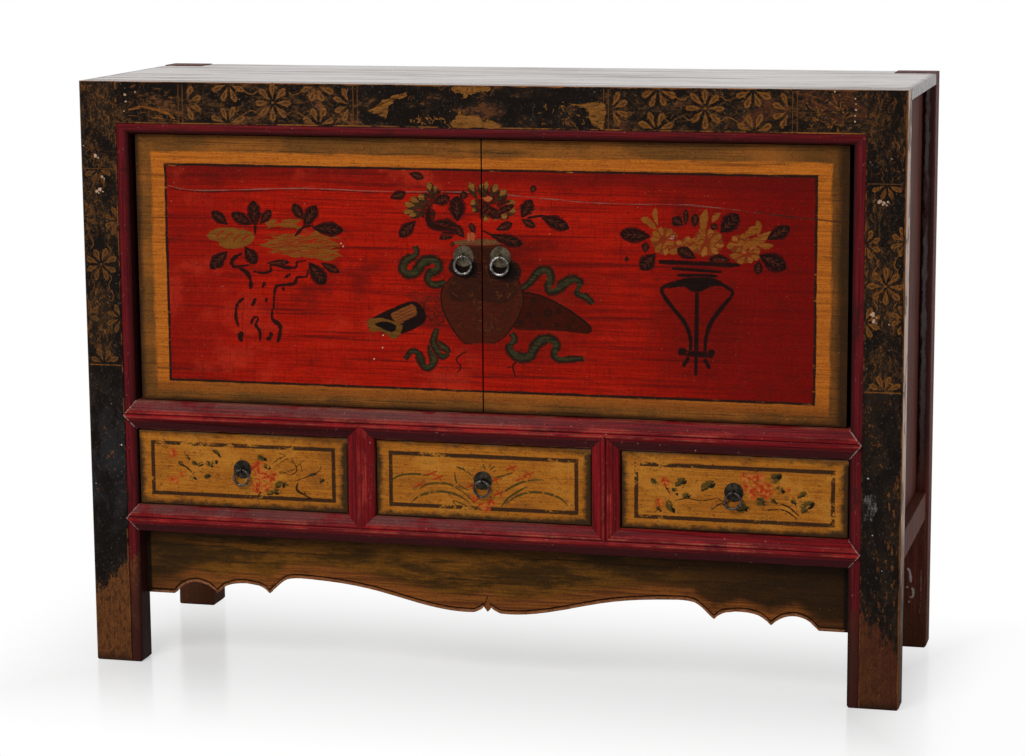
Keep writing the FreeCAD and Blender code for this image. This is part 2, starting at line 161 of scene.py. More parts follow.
def dress(name, material, edge=0.0):
    """Gives a node its surface and eases its sharp edges as a hand plane would."""
    piece = nodes[name]
    piece.data.materials.clear()
    piece.data.materials.append(material)
    if edge:
        weld = piece.modifiers.new("weld", "WELD")
        weld.merge_threshold = SAME_POINT
        ease = piece.modifiers.new("edge", "BEVEL")
        ease.width = edge
        ease.segments = 2
        ease.limit_method = "ANGLE"
        ease.angle_limit = SHARP


BLACK = (0.0075, 0.0055, 0.0045)
BARE = (0.135, 0.048, 0.013)
BARE_DARK = (0.050, 0.018, 0.008)
RUST = (0.25, 0.085, 0.016)


def black_ground(paint, upright):
    """Black paint with brown wear and a red roll; upright says which way the grain runs."""
    grain = paint.noise((420, 420, 9) if upright else (9, 420, 420), 5.0, 0.65)
    patch = paint.noise((30, 30, 16) if upright else (16, 30, 30), 6.0, 0.70, 3.1, 0.6)
    dashes = paint.noise((210, 210, 110) if upright else (110, 210, 210), 5.0, 0.74, 5.9, 0.8)
    flecks = paint.noise((300, 300, 240), 3.0, 0.6, 7.7)
    black = paint.mix(BLACK, (0.018, 0.011, 0.007), paint.step(patch, 0.44, 0.62))
    black = paint.mix(black, (0.034, 0.028, 0.026), paint.times(paint.step(grain, 0.60, 0.76), 0.5))
    gold_dust = paint.times(paint.step(dashes, 0.50, 0.58), paint.step(patch, 0.40, 0.52), 0.75)
    scratch = paint.times(paint.step(dashes, 0.60, 0.64), paint.step(patch, 0.50, 0.58))
    wood = paint.mix(BARE_DARK, BARE,
                     paint.step(paint.sum(paint.times(grain, 0.35), dashes, 0.65), 0.40, 0.56))
    ruddy = paint.step(paint.sum(paint.times(patch, 0.5), paint.x, 0.2), 0.30, 0.40)
    wood = paint.mix(wood, (0.078, 0.020, 0.010), paint.times(ruddy, 0.7))
    wood = paint.mix(wood, (0.036, 0.010, 0.006), paint.times(paint.step(paint.x, -0.1, 0.1), 0.42))
    wood = paint.mix(wood, BLACK, paint.times(paint.step(dashes, 0.60, 0.66), 0.7))
    wood = paint.mix(wood, (0.016, 0.008, 0.006), paint.times(paint.step(paint.z, 0.016, 0.003), 0.7))
    rim_noise = paint.noise((60, 60, 30) if upright else (30, 60, 60), 5.0, 0.7, 1.9)
    if upright:
        stencilled = paint.step(paint.z, 0.447, 0.452)
        # Dust with a painted sheen: a bluish-grey haze in patches on the lower part of the left post.
        dust_and_sheen = paint.times(paint.step(patch, 0.40, 0.60), paint.band(paint.z, 0.20, 0.38, 0.10),
                           paint.step(paint.x, 0.0, -0.1))
        black = paint.mix(black, (0.015, 0.017, 0.020), paint.times(dust_and_sheen, 0.8))
        wobble = paint.noise((90, 90, 26), 6.0, 0.74, 5.3)
        lean = paint.math("MULTIPLY_ADD", paint.wide, -0.95, 0.566)
        lean = paint.sum(lean, paint.step(paint.x, 0.1, -0.1), 0.022)
        reach = paint.sum(paint.sum(lean, wobble, 0.110), dashes, 0.06)
        foot = paint.step(paint.math("SUBTRACT", paint.z, reach), 0.006, -0.006)
        right = paint.step(paint.x, -0.1, 0.1)
        edge = paint.times(paint.step(paint.sum(paint.wide, rim_noise, 0.007), 0.6000, 0.6025),
                           paint.math("MULTIPLY_ADD", right, 0.75, 0.2))
        seam = paint.times(paint.band(paint.wide, 0.5436, 0.5454, 0.0006), paint.step(rim_noise, 0.50, 0.60),
                           0.6)
        top = paint.times(paint.step(paint.sum(paint.z, rim_noise, 0.003), 0.8655, 0.8664), 0.8)
        bead = paint.step(paint.wide, 0.5440, 0.5432)
    else:
        stencilled = paint.step(paint.wide, 0.180, 0.186)
        foot = paint.times(paint.step(patch, 0.56, 0.60), paint.step(dashes, 0.40, 0.52), 0.75)
        edge = paint.times(paint.band(paint.z, 0.8046, 0.8066, 0.0006), paint.step(rim_noise, 0.42, 0.55))
        seam = paint.times(paint.step(paint.wide, 0.5405, 0.5425), paint.step(rim_noise, 0.46, 0.58), 0.7)
        top = paint.times(paint.step(paint.sum(paint.z, rim_noise, 0.008), 0.8672, 0.8686), 0.9)
        bead = paint.step(paint.z, 0.8050, 0.8042)
    black = paint.mix(black, (0.058, 0.048, 0.042), paint.times(paint.step(flecks, 0.60, 0.68), 0.55))
    colour = paint.mix(black, (0.085, 0.036, 0.011), paint.times(gold_dust, stencilled))
    colour = paint.mix(colour, RUST, paint.times(scratch, 0.7))
    colour = paint.mix(colour, wood, foot)
    colour = paint.mix(colour, paint.mix(BARE, RUST, paint.step(grain, 0.40, 0.56)),
                       paint.most(edge, seam, top))
    colour = paint.mix(colour, (0.42, 0.27, 0.19), paint.times(paint.step(flecks, 0.725, 0.75), 0.75))
    colour = paint.grit(colour, (0.008, 0.005, 0.004), (0.125, 0.055, 0.026), 0.36, 4.9)
    red = paint.mix((0.118, 0.008, 0.010), (0.056, 0.005, 0.007), paint.step(grain, 0.40, 0.62))
    red = paint.mix(red, (0.030, 0.008, 0.008), paint.times(paint.step(patch, 0.52, 0.66), 0.8))
    red = paint.mix(red, (0.30, 0.11, 0.09), paint.times(paint.step(flecks, 0.66, 0.72), 0.5))
    if upright:
        rubbed = paint.mix((0.050, 0.010, 0.008), wood, paint.step(patch, 0.44, 0.56))
        share = paint.math("MULTIPLY_ADD", paint.step(dashes, 0.46, 0.58), 0.35, 0.55)
        red = paint.mix(red, rubbed, paint.times(foot, share))
        red = paint.mix(red, (0.034, 0.013, 0.009), paint.times(paint.step(paint.z, 0.17, 0.07), 0.70))
        # Painted shade: the faces of the roll that turn sideways are darkened, beside the door.
        inner = paint.step(paint.math("ABSOLUTE", paint.facing[0]), 0.25, 0.80)
        red = paint.mix(red, (0.018, 0.005, 0.005), paint.times(inner, 0.82))
        # Painted sheen: the outer side face of the post is pale grey-brown, paler upward, standing for a
        # grazing reflection of the white room; on the left post it is toned down to dark brown.
        flank = paint.step(paint.math("ABSOLUTE", paint.facing[0]), 0.80, 0.92)
        pale = paint.mix((0.780, 0.610, 0.515), (0.310, 0.206, 0.160), paint.step(grain, 0.46, 0.66))
        pale = paint.mix(pale, BARE_DARK, paint.step(paint.sum(paint.z, wobble, 0.5), 0.62, 0.34))
        pale = paint.mix(pale, (0.060, 0.030, 0.022), paint.times(paint.step(patch, 0.50, 0.60), 0.75))
        pale = paint.mix(pale, (0.105, 0.056, 0.040), paint.times(paint.step(paint.x, 0.1, -0.1), 0.86))
        colour = paint.mix(colour, pale, paint.times(flank, paint.step(paint.wide, 0.596, 0.5985)))
    else:
        # Painted shade: the faces of the rail's roll that turn downward are darkened.
        red = paint.mix(red, (0.018, 0.004, 0.004),
                        paint.times(paint.step(paint.facing[2], -0.15, -0.75), 0.82))
    colour = paint.mix(colour, red, bead)
    above = paint.step(paint.facing[2], 0.60, 0.85)
    bare_top = paint.mix((0.50, 0.46, 0.44), (0.20, 0.14, 0.11), paint.step(grain, 0.46, 0.62))
    colour = paint.mix(colour, bare_top, above)
    worn = paint.most(foot, edge, top)
    gloss = paint.sum(paint.math("MULTIPLY_ADD", worn, 0.18, 0.26), grain, 0.12)
    relief = paint.sum(paint.times(grain, 0.6), patch, 0.4)
    relief = paint.math("SUBTRACT", relief, paint.times(worn, 0.30))
    return colour, gloss, relief


post_paint = Paint("black_post_paint")
post_paint.finish(*black_ground(post_paint, True))
for side in ("left", "right"):
    dress("front_post_" + side, post_paint.material, 0.0015)


def smooth(points, closed=False, steps=5):
    """A rounded run through a few points."""
    count = len(points)
    out = []
    for i in range(count if closed else count - 1):
        near = [points[(i + k) % count] if closed else points[min(max(i + k, 0), count - 1)]
                for k in (-1, 0, 1, 2)]
        for s in range(steps):
            t = s / steps
            out.append(tuple(0.5 * (2 * b + (c - a) * t + (2 * a - 5 * b + 4 * c - d) * t * t
                                    + (3 * b - a - 3 * c + d) * t ** 3)
                             for a, b, c, d in zip(*near)))
    if not closed:
        out.append(tuple(points[-1]))
    return out


def clip(polygon, sign, limit):
    """The part of a polygon where sign times x is at least the limit."""
    out = []
    for a, b in zip(polygon, polygon[1:] + polygon[:1]):
        in_a, in_b = sign * a[0] >= limit, sign * b[0] >= limit
        if in_a:
            out.append(a)
        if in_a != in_b:
            t = (sign * limit - a[0]) / (b[0] - a[0])
            out.append(tuple(p + t * (q - p) for p, q in zip(a, b)))
    return out


class Brush:
    """Flat strokes of paint on a front face, in millimetres from the middle of the floor line. A corner
    is x, z and the share of the paint that holds there: all of it inside a stroke, less at its edges.
    Where a stroke lies on another one, under is the colour of that one."""

    THIN = 0.60  # the share that holds at an edge
    RIM, RIM_SHARE = 1.8, 0.35  # the thin rim of a shape: millimetres, and at most this share of the shape
    EDGE, CORE = 1.1, 0.62  # where a stroke ends and where it is full, in half widths
    BEND_ROOM = 0.38  # how far an inner edge may reach into a bend
    SPECK = 0.005  # smaller faces are left out
    OFF_BOARD, LAYER = 0.00004, 0.0000035  # metres from the board, and from one stroke to the next

    def __init__(self, face, seed):
        self.face = face
        self.chance = random.Random(seed)
        self.marks = []
        self.under = None

    def shape(self, outline, colour, cover=0.9, ragged=0.5):
        """A filled outline with a slightly ragged rim."""
        run = smooth(outline, True)
        run = [(x + self.chance.uniform(-ragged, ragged), z + self.chance.uniform(-ragged, ragged))
               for x, z in run]
        mx, mz = (sum(values) / len(run) for values in zip(*run))
        inner, outer = [], []
        for x, z in run:
            share = 1 - min(self.RIM / (math.hypot(x - mx, z - mz) or 1.0), self.RIM_SHARE)
            inner.append((mx + share * (x - mx), mz + share * (z - mz), 1.0))
            outer.append((x, z, self.THIN))
        rim = [[outer[i - 1], outer[i], inner[i], inner[i - 1]] for i in range(len(run))]
        self.marks.append(([inner] + rim, colour, cover, self.under))

    def strip(self, run, halves, colour, cover):
        """A band along a run of points, given its half width at each."""
        last = len(run) - 1
        sides, rooms = [], []
        for i, (x, z) in enumerate(run):
            (ax, az), (bx, bz) = run[max(i - 1, 0)], run[min(i + 1, last)]
            length = math.hypot(bx - ax, bz - az) or 1.0
            sides.append((-(bz - az) / length, (bx - ax) / length))
            bend = 0.0
            if 0 < i < last:
                bend = math.atan2((x - ax) * (bz - z) - (z - az) * (bx - x),
                                  (x - ax) * (bx - x) + (z - az) * (bz - z))
            rooms.append(math.copysign(self.BEND_ROOM * length / max(abs(bend), 0.001), bend))
        edges = []
        for i, (x, z) in enumerate(run):
            near = rooms[max(i - 3, 0):i + 4]
            edge = []
            for k, hold in ((self.EDGE, self.THIN), (self.CORE, 1.0), (-self.CORE, 1.0),
                            (-self.EDGE, self.THIN)):
                reach = k * min([halves[i]] + [abs(room) for room in near if room * k > 0])
                edge.append((x + reach * sides[i][0], z + reach * sides[i][1], hold))
            edges.append(edge)
        bands = [[a[k], a[k + 1], b[k + 1], b[k]] for a, b in zip(edges, edges[1:]) for k in range(3)]
        self.marks.append((bands, colour, cover, self.under))

    def stroke(self, points, width, colour, cover=0.9, ends=0.4, wobble=0.12):
        """A stroke of one width, drawn out at its tips to the share called ends."""
        run = smooth(points)
        last = len(run) - 1
        halves = []
        for i in range(len(run)):
            t = i / last
            swell = ends + (1 - ends) * min(1.0, 4 * t, 4 * (1 - t))
            halves.append(0.5 * width * swell * (1 + self.chance.uniform(-wobble, wobble)))
        self.strip(run, halves, colour, cover)

    def leaf(self, x0, z0, x1, z1, width, colour, cover=0.9, bend=0.10, full=0.58, blunt=0.75):
        """A leaf or petal from its foot to its tip; full is where along it it is widest."""
        dx, dz = x1 - x0, z1 - z0
        bend *= self.chance.choice((-1, 1))
        power = math.log(0.5) / math.log(full)
        run, halves = [], []
        for i in range(11):
            t = i / 10
            arch = 4 * t * (1 - t) * bend
            run.append((x0 + dx * t - dz * arch, z0 + dz * t + dx * arch))
            swell = max(0.0, math.sin(math.pi * t ** power)) ** blunt
            halves.append(0.5 * width * (0.04 + 0.96 * swell) * (1 + self.chance.uniform(-0.08, 0.08)))
        self.strip(run, halves, colour, cover)

    def dot(self, x, z, size, colour, cover=0.9):
        """A small uneven round."""
        turn = [math.tau * i / 8 for i in range(8)]
        radii = [0.5 * size * self.chance.uniform(0.75, 1.2) for a in turn]
        self.shape([(x + r * math.cos(a), z + r * math.sin(a)) for a, r in zip(turn, radii)], colour, cover,
                   0.0)

    def lay(self, name, body, slot, material, *cuts):
        """Makes the strokes one mesh that rides a body; each cut is a side and a limit to keep."""
        points, faces, tints, grounds, placed = [], [], [], [], []
        for polygons, colour, cover, under in self.marks:
            xs, zs = ([corner[k] for polygon in polygons for corner in polygon] for k in (0, 1))
            box = (min(xs), max(xs), min(zs), max(zs))
            crossed = [layer for layer, (x0, x1, z0, z1) in placed
                       if box[0] < x1 and box[1] > x0 and box[2] < z1 and box[3] > z0]
            layer = max(crossed, default=-1) + 1
            placed.append((layer, box))
            y = self.face - self.OFF_BOARD - self.LAYER * layer
            for kept in polygons:
                for sign, limit in cuts:
                    kept = clip(kept, sign, limit)
                area = sum(a[0] * b[1] - b[0] * a[1] for a, b in zip(kept, kept[1:] + kept[:1]))
                if len(kept) < 3 or abs(area) < self.SPECK:
                    continue
                if area < 0:
                    kept = kept[::-1]
                faces.append(list(range(len(points), len(points) + len(kept))))
                points += [(x / 1000, y, z / 1000) for x, z, hold in kept]
                tints += [(*colour, cover * hold) for x, z, hold in kept]
                grounds += [(*under, 1.0) if under else (0.0, 0.0, 0.0, 0.0)] * len(kept)
        mesh = bpy.data.meshes.new(name)
        mesh.from_pydata(points, [], faces)
        for layer, values in (("tint", tints), ("under", grounds)):
            colours = mesh.color_attributes.new(layer, "FLOAT_COLOR", "POINT")
            for item, value in zip(colours.data, values):
                item.color = value
        mesh.materials.append(material)
        piece = bpy.data.objects.new(name, mesh)
        bpy.context.scene.collection.objects.link(piece)
        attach(piece, body)


def stroke_paint(name, ground, stretch, *inputs):
    """The paint of flat strokes: their tint, rubbed through to the ground or the strokes beneath."""
    paint = Paint(name)
    colour, gloss, relief = ground(paint, *inputs)
    below = paint.add("ShaderNodeVertexColor", layer_name="under")
    colour = paint.mix(colour, below.outputs["Color"], below.outputs["Alpha"])
    tint = paint.add("ShaderNodeVertexColor", layer_name="tint")
    rub = paint.noise(stretch, 5.0, 0.7, 11.3)
    fine = paint.noise((600, 600, 600), 3.0, 0.6, 2.2)
    rub = paint.sum(paint.times(rub, 0.62), fine, 0.38)
    limit = paint.math("MULTIPLY_ADD", tint.outputs["Alpha"], 0.36, 0.31)
    kept = paint.step(paint.math("SUBTRACT", rub, limit), 0.05, -0.05)
    kept = paint.times(kept, paint.math("MULTIPLY_ADD", tint.outputs["Alpha"], 0.5, 0.5))
    shade = paint.mix(tint.outputs["Color"], (0.0, 0.0, 0.0), paint.times(paint.step(rub, 0.36, 0.64), 0.5))
    return paint.finish(paint.mix(colour, shade, kept), gloss, relief)


# Stencilled ornament on the posts: gold-brown rosettes of eight petals with wavy shoots between them,
# dabbed on the black through a cut pattern as thin flat paint, and rubbed through in places.
GOLD = (0.205, 0.074, 0.014)
DULL_GOLD = (0.115, 0.043, 0.011)
FAINT_GOLD = (0.080, 0.034, 0.011)
CHIP = (0.52, 0.33, 0.22)


def rosette(brush, x, z, reach, colour=GOLD, turn=0.0, arc=(0, 360), cover=0.76, petals=8):
    """Drop-shaped petals about a middle; arc keeps only those that point within it."""
    for i in range(petals):
        angle = turn + 360 / petals * i
        if not any(arc[0] - 1 <= angle % 360 - whole <= arc[1] + 1 for whole in (0, 360)):
            continue
        a = math.radians(angle)
        size = reach * brush.chance.uniform(0.92, 1.05)
        u, v = math.cos(a), math.sin(a)
        brush.leaf(x + u * reach * 0.18, z + v * reach * 0.18, x + u * size, z + v * size, reach * 0.33,
                   colour, cover, 0.02, 0.70, 0.62)
        brush.under = colour
        brush.leaf(x + u * reach * 0.42, z + v * reach * 0.42, x + u * size * 0.88, z + v * size * 0.88,
                   reach * 0.14, (0.040, 0.020, 0.009), 0.74, 0.02, 0.66)
        brush.under = None
    if arc == (0, 360):
        brush.dot(x, z, reach * 0.15, colour, cover)


def shoots(brush, x, z, reach, upright, colour=GOLD, cover=0.66):
    """Four wavy shoots with curled ends that leave a rosette between its petals."""
    wave = ((0.42, 0.40), (0.80, 0.74), (1.15, 0.52), (1.50, 0.62), (1.85, 0.86), (2.15, 0.64), (1.95, 0.46))
    for sx in (-1, 1):
        for sz in (-1, 1):
            run = [(sz * v * 0.86, sx * u) if upright else (sx * u, sz * v * 0.86) for u, v in wave]
            brush.stroke([(x + reach * u, z + reach * v) for u, v in run], 1.5, colour, cover, 0.6)


def scratches(brush, x0, x1, z0, z1, count, colour, cover, longest=18):
    """Chance rubbings and dabs over an area."""
    for i in range(count):
        x, z = brush.chance.uniform(x0, x1), brush.chance.uniform(z0, z1)
        a, length = brush.chance.uniform(0, math.tau), brush.chance.uniform(4, longest)
        u, v = math.cos(a) * length, math.sin(a) * length
        sag = brush.chance.uniform(-3, 3)
        run = [(x, z), (x + u / 2 + sag, z + v / 2 - sag), (x + u, z + v)]
        run = [(px, max(z0 - 4, min(z1 + 4, pz))) for px, pz in run]
        brush.stroke(run, brush.chance.uniform(1.0, 3.2), colour, cover)


posts = Brush(FRONT, 5)
for hand, low, high, foot in ((-1, 519, 662, 449), (1, 548, 655, 451)):
    tone = GOLD if hand > 0 else (0.150, 0.058, 0.014)
    middle = hand * 573
    inward, outward = ((90, 270), (-90, 90)) if hand > 0 else ((-90, 90), (90, 270))
    scratches(posts, middle - 26, middle + 20, 742, 856, 60, DULL_GOLD, 0.52)
    scratches(posts, middle - 26, middle + 20, 456, 735, 60, (0.075, 0.031, 0.010), 0.50, 10)
    posts.stroke([(hand * 546, 738), (hand * 597, 738)], 1.4, DULL_GOLD, 0.75, 1.0)
    posts.stroke([(hand * 546, foot), (hand * 598, foot)], 1.7, GOLD, 0.80, 1.0)
    rosette(posts, middle, 598, 26, tone, 22.5 if hand < 0 else 0)
    shoots(posts, middle, 598, 25, True, tone)
    for z in (low, high):
        rosette(posts, hand * 545, z, 23, tone, 22.5, outward, 0.74)
        rosette(posts, hand * 600, z + 5, 22, tone, 22.5, inward, 0.70)
    rosette(posts, middle, foot + 2, 24, tone, 22.5, (0, 180))
    rosette(posts, middle, 737, 22, tone, 22.5, (180, 360), 0.68)
    shoots(posts, middle, 735, 12, True, DULL_GOLD)
    shoots(posts, middle, 478, 11, True, DULL_GOLD)
for x, z, size in ((-576, 757, 8), (-567, 726, 6), (-571, 708, 8), (-576, 705, 6), (-595, 771, 3),
                   (563, 714, 9), (569, 712, 7), (574, 714, 4), (556, 559, 10), (557, 550, 8), (578, 546, 3),
                   (578, 773, 3)):
    posts.dot(x, z, size * 0.70, CHIP, 0.86)
    posts.dot(x + size * 0.5, z - size * 0.4, size * 0.40, CHIP, 0.80)
for x, z, size in ((-550, 330, 3), (-592, 270, 2), (553, 330, 3), (560, 250, 2), (574, 200, 2)):
    posts.dot(x, z, size, (0.45, 0.40, 0.38), 0.8)
posts.shape([(548, 306), (563, 307), (566, 292), (561, 272), (549, 271), (552, 290)], (0.130, 0.122, 0.112),
            0.52, 2.0)
for x, z, height, width in ((553, 398, 20, 7), (566, 384, 16, 3), (551, 252, 8, 3), (584, 222, 40, 5),
                            (586, 170, 44, 6), (575, 140, 30, 7), (558, 150, 36, 6), (590, 330, 40, 4),
                            (549, 420, 22, 4), (589, 265, 36, 4), (580, 300, 24, 3), (567, 205, 22, 3)):
    for i in range(5):
        u, v = posts.chance.uniform(-width, width), posts.chance.uniform(-0.5, 0.5) * height
        tall = height * posts.chance.uniform(0.12, 0.34)
        posts.stroke([(x + u, z + v - tall / 2), (x + u + 0.8, z + v), (x + u - 0.5, z + v + tall / 2)],
                     posts.chance.uniform(1.4, 3.6), (0.165, 0.058, 0.014), 0.54, 0.3, 0.5)
stencil = stroke_paint("post_stencil_paint", black_ground, (300, 300, 70), True)
posts.lay("post_stencils", "carcass", "black_paint", stencil, (1, -595.2), (-1, -595.2))

# Top front rail: a board set on edge between the posts, with the red roll along its lower edge mitred
# into theirs. Black paint, stencilled in panels between double lines, the middle panel rubbed to wood.
rail_paint = Paint("black_rail_paint")
rail_paint.finish(*black_ground(rail_paint, False))
dress("top_front_rail", rail_paint.material, 0.0015)

rail = Brush(FRONT, 8)
for x0, x1 in ((-526, -447), (450, 526)):
    scratches(rail, x0 + 6, x1 - 10, 812, 856, 46, GOLD if x0 > 0 else DULL_GOLD, 0.58)
scratches(rail, -430, -190, 810, 858, 70, FAINT_GOLD, 0.50, 12)
scratches(rail, 195, 435, 810, 858, 40, FAINT_GOLD, 0.50, 12)
rail.stroke([(-524, 824), (-500, 828), (-470, 822), (-452, 812)], 4.5, RUST, 0.66)
rail.stroke([(-524, 816), (-490, 814), (-445, 808)], 2.5, RUST, 0.62)
for x in (-443, -180, 183, 446):
    for gap in (-3.2, 3.2):
        rail.stroke([(x + gap, 806.5), (x + gap, 862)], 1.5, DULL_GOLD, 0.82, 1.0)
for middle, tone in ((-303, (0.200, 0.076, 0.018)), (322, GOLD)):
    rosette(rail, middle, 837, 28, tone, 0)
    shoots(rail, middle, 837, 26, False, tone)
    for hand in (-1, 1):
        end = (-435 if hand < 0 else -188) if middle < 0 else (191 if hand < 0 else 438)
        rosette(rail, end, 835, 26, tone, 22.5, (90, 270) if hand > 0 else (-90, 90))
        rosette(rail, middle + hand * 66, 863, 27, tone, 22.5, (180, 360))
        rosette(rail, middle + hand * 68, 806, 27, tone, 22.5, (0, 180))
RUBBED = (0.235, 0.092, 0.018)
for patch in ([(-163, 828), (-151, 834), (-141, 842), (-127, 848), (-112, 851), (-102, 854), (-105, 849),
               (-120, 843), (-131, 834), (-133, 817), (-139, 820), (-154, 824)],
              [(-38, 806), (-34, 818), (-27, 829), (-19, 823), (0, 825), (7, 815), (17, 818), (31, 807)],
              [(-37, 862), (17, 863), (10, 856), (-8, 854), (-19, 847), (-24, 852), (-34, 855)],
              [(119, 843), (147, 842), (180, 844), (180, 808), (171, 808), (160, 818), (158, 831),
               (142, 838)]):
    rail.shape(patch, RUBBED, 0.74, 1.6)
scratches(rail, -100, -40, 808, 822, 22, RUBBED, 0.62, 8)
scratches(rail, 90, 160, 810, 838, 26, RUBBED, 0.58, 7)
scratches(rail, -110, 20, 842, 858, 16, DULL_GOLD, 0.60, 16)
for x, z, size in ((500, 862, 3), (528, 853, 2.5), (529, 846, 3), (529, 838, 3.5), (528, 830, 2.5),
                   (528, 822, 3), (-528, 846, 4), (-527, 836, 3), (-530, 822, 2.5), (-512, 850, 2.5)):
    rail.dot(x, z, size, CHIP, 0.84)
stencil = stroke_paint("rail_stencil_paint", black_ground, (70, 300, 300), False)
rail.lay("rail_stencils", "carcass", "black_paint", stencil, (1, -542), (-1, -542))

# Waist rail, bottom rail and drawer dividers: ridged mouldings with pointed ends, let into each other
# and into the rolls of the posts. Dark red paint; on the rails, painted shade on the lower slopes and dust
# with a painted highlight on the upper slopes; pale rubbing with a painted highlight on the reeds.


def ridged_paint(name, middle, upright=False):
    """Red paint on a ridged bar; middle is where its ridge runs."""
    paint = Paint(name)
    shadow = (0.022, 0.004, 0.005)
    across = paint.math("SUBTRACT", paint.x if upright else paint.z, middle)
    spread = paint.math("ABSOLUTE", across)
    grain = paint.noise((460, 460, 10) if upright else (10, 460, 460), 5.0, 0.68, middle * 9)
    patch = paint.noise((28, 28, 14) if upright else (14, 28, 28), 6.0, 0.70, 4.0 + middle * 7)
    flecks = paint.noise((280, 280, 280), 3.0, 0.6, 6.1 + middle)
    red = paint.mix((0.205, 0.007, 0.009), (0.084, 0.004, 0.006), paint.step(grain, 0.38, 0.62))
    red = paint.mix(red, (0.31, 0.010, 0.012), paint.times(paint.band(across, -0.004, 0.010, 0.002),
                                                           paint.step(patch, 0.46, 0.60), 0.8))
    if not upright:
        # Painted shade on the lower slope, which faces down; dust with a painted highlight on the upper
        # slope, towards the left.
        red = paint.mix(red, shadow, paint.times(paint.step(across, -0.005, -0.010), 0.88))
        dust_and_highlight = paint.times(paint.step(across, 0.006, 0.010), paint.step(paint.x, 0.25, -0.10),
                            paint.step(patch, 0.34, 0.56))
        red = paint.mix(red, (0.118, 0.050, 0.044), paint.times(dust_and_highlight, 0.60))
    # Pale on the reeds and the outer edges: rubbing, with a painted highlight.
    reeds = paint.most(paint.band(across, 0.0042, 0.0058, 0.0007),
                       paint.band(across, -0.0028, -0.0012, 0.0007),
                       paint.band(across, 0.0076, 0.0086, 0.0005), paint.step(spread, 0.0192, 0.0203))
    rubbed = paint.times(reeds, paint.step(grain, 0.40, 0.58), paint.step(patch, 0.40, 0.56))
    colour = paint.mix(red, (0.30, 0.120, 0.062), paint.times(rubbed, 0.62))
    grooves = paint.most(paint.band(across, 0.0014, 0.0026, 0.0005),
                         paint.band(across, -0.0066, -0.0056, 0.0005),
                         paint.times(paint.band(across, 0.0108, 0.0116, 0.0004), 0.6),
                         paint.times(paint.band(across, 0.0152, 0.0160, 0.0004), 0.6))
    colour = paint.mix(colour, (0.020, 0.004, 0.006), paint.times(grooves, 0.75))
    if upright:
        end = paint.math("SUBTRACT", paint.math("ABSOLUTE", paint.math("SUBTRACT", paint.z, 0.29765)),
                         0.07695)
        tip = paint.math("ABSOLUTE", paint.math("ADD", paint.math("ADD", end, spread), -0.020))
    else:
        tip = paint.math("ABSOLUTE", paint.math("ADD", paint.sum(paint.wide, spread, 0.81), -0.5436))
    crack = paint.times(paint.step(tip, 0.0022, 0.0006), paint.step(flecks, 0.40, 0.52))
    colour = paint.mix(colour, (0.36, 0.25, 0.22), paint.times(crack, 0.75))
    bloom = paint.times(paint.step(flecks, 0.57, 0.66), paint.step(patch, 0.53, 0.62))
    colour = paint.mix(colour, (0.26, 0.100, 0.075), paint.times(bloom, 0.30))
    colour = paint.mix(colour, (0.50, 0.36, 0.29), paint.times(paint.step(flecks, 0.71, 0.74), 0.75))
    colour = paint.grit(colour, shadow, (0.170, 0.026, 0.024), 0.55, 8.3 + middle)
    colour = paint.bare_back(colour, grain)
    gloss = paint.sum(paint.math("MULTIPLY_ADD", patch, 0.25, 0.16), grain, 0.10)
    return paint.finish(colour, gloss, paint.sum(paint.times(grain, 0.6), patch, 0.4), shine=0.05)


for name, coat, middle, upright in (("waist_rail", "waist_rail_paint", 0.3756, False),
                                    ("bottom_rail", "bottom_rail_paint", 0.2208, False),
                                    ("drawer_divider_left", "left_divider_paint", -0.181, True),
                                    ("drawer_divider_right", "right_divider_paint", 0.181, True)):
    dress(name, ridged_paint(coat, middle, upright), 0.0008)

# Doors: planks with level grain and an upright pivot stile, painted across as one picture: an olive
# border, an ochre band and a dark line round a red field, all streaked and darkened along the grain.
DOOR_FACE = FRONT + 0.014


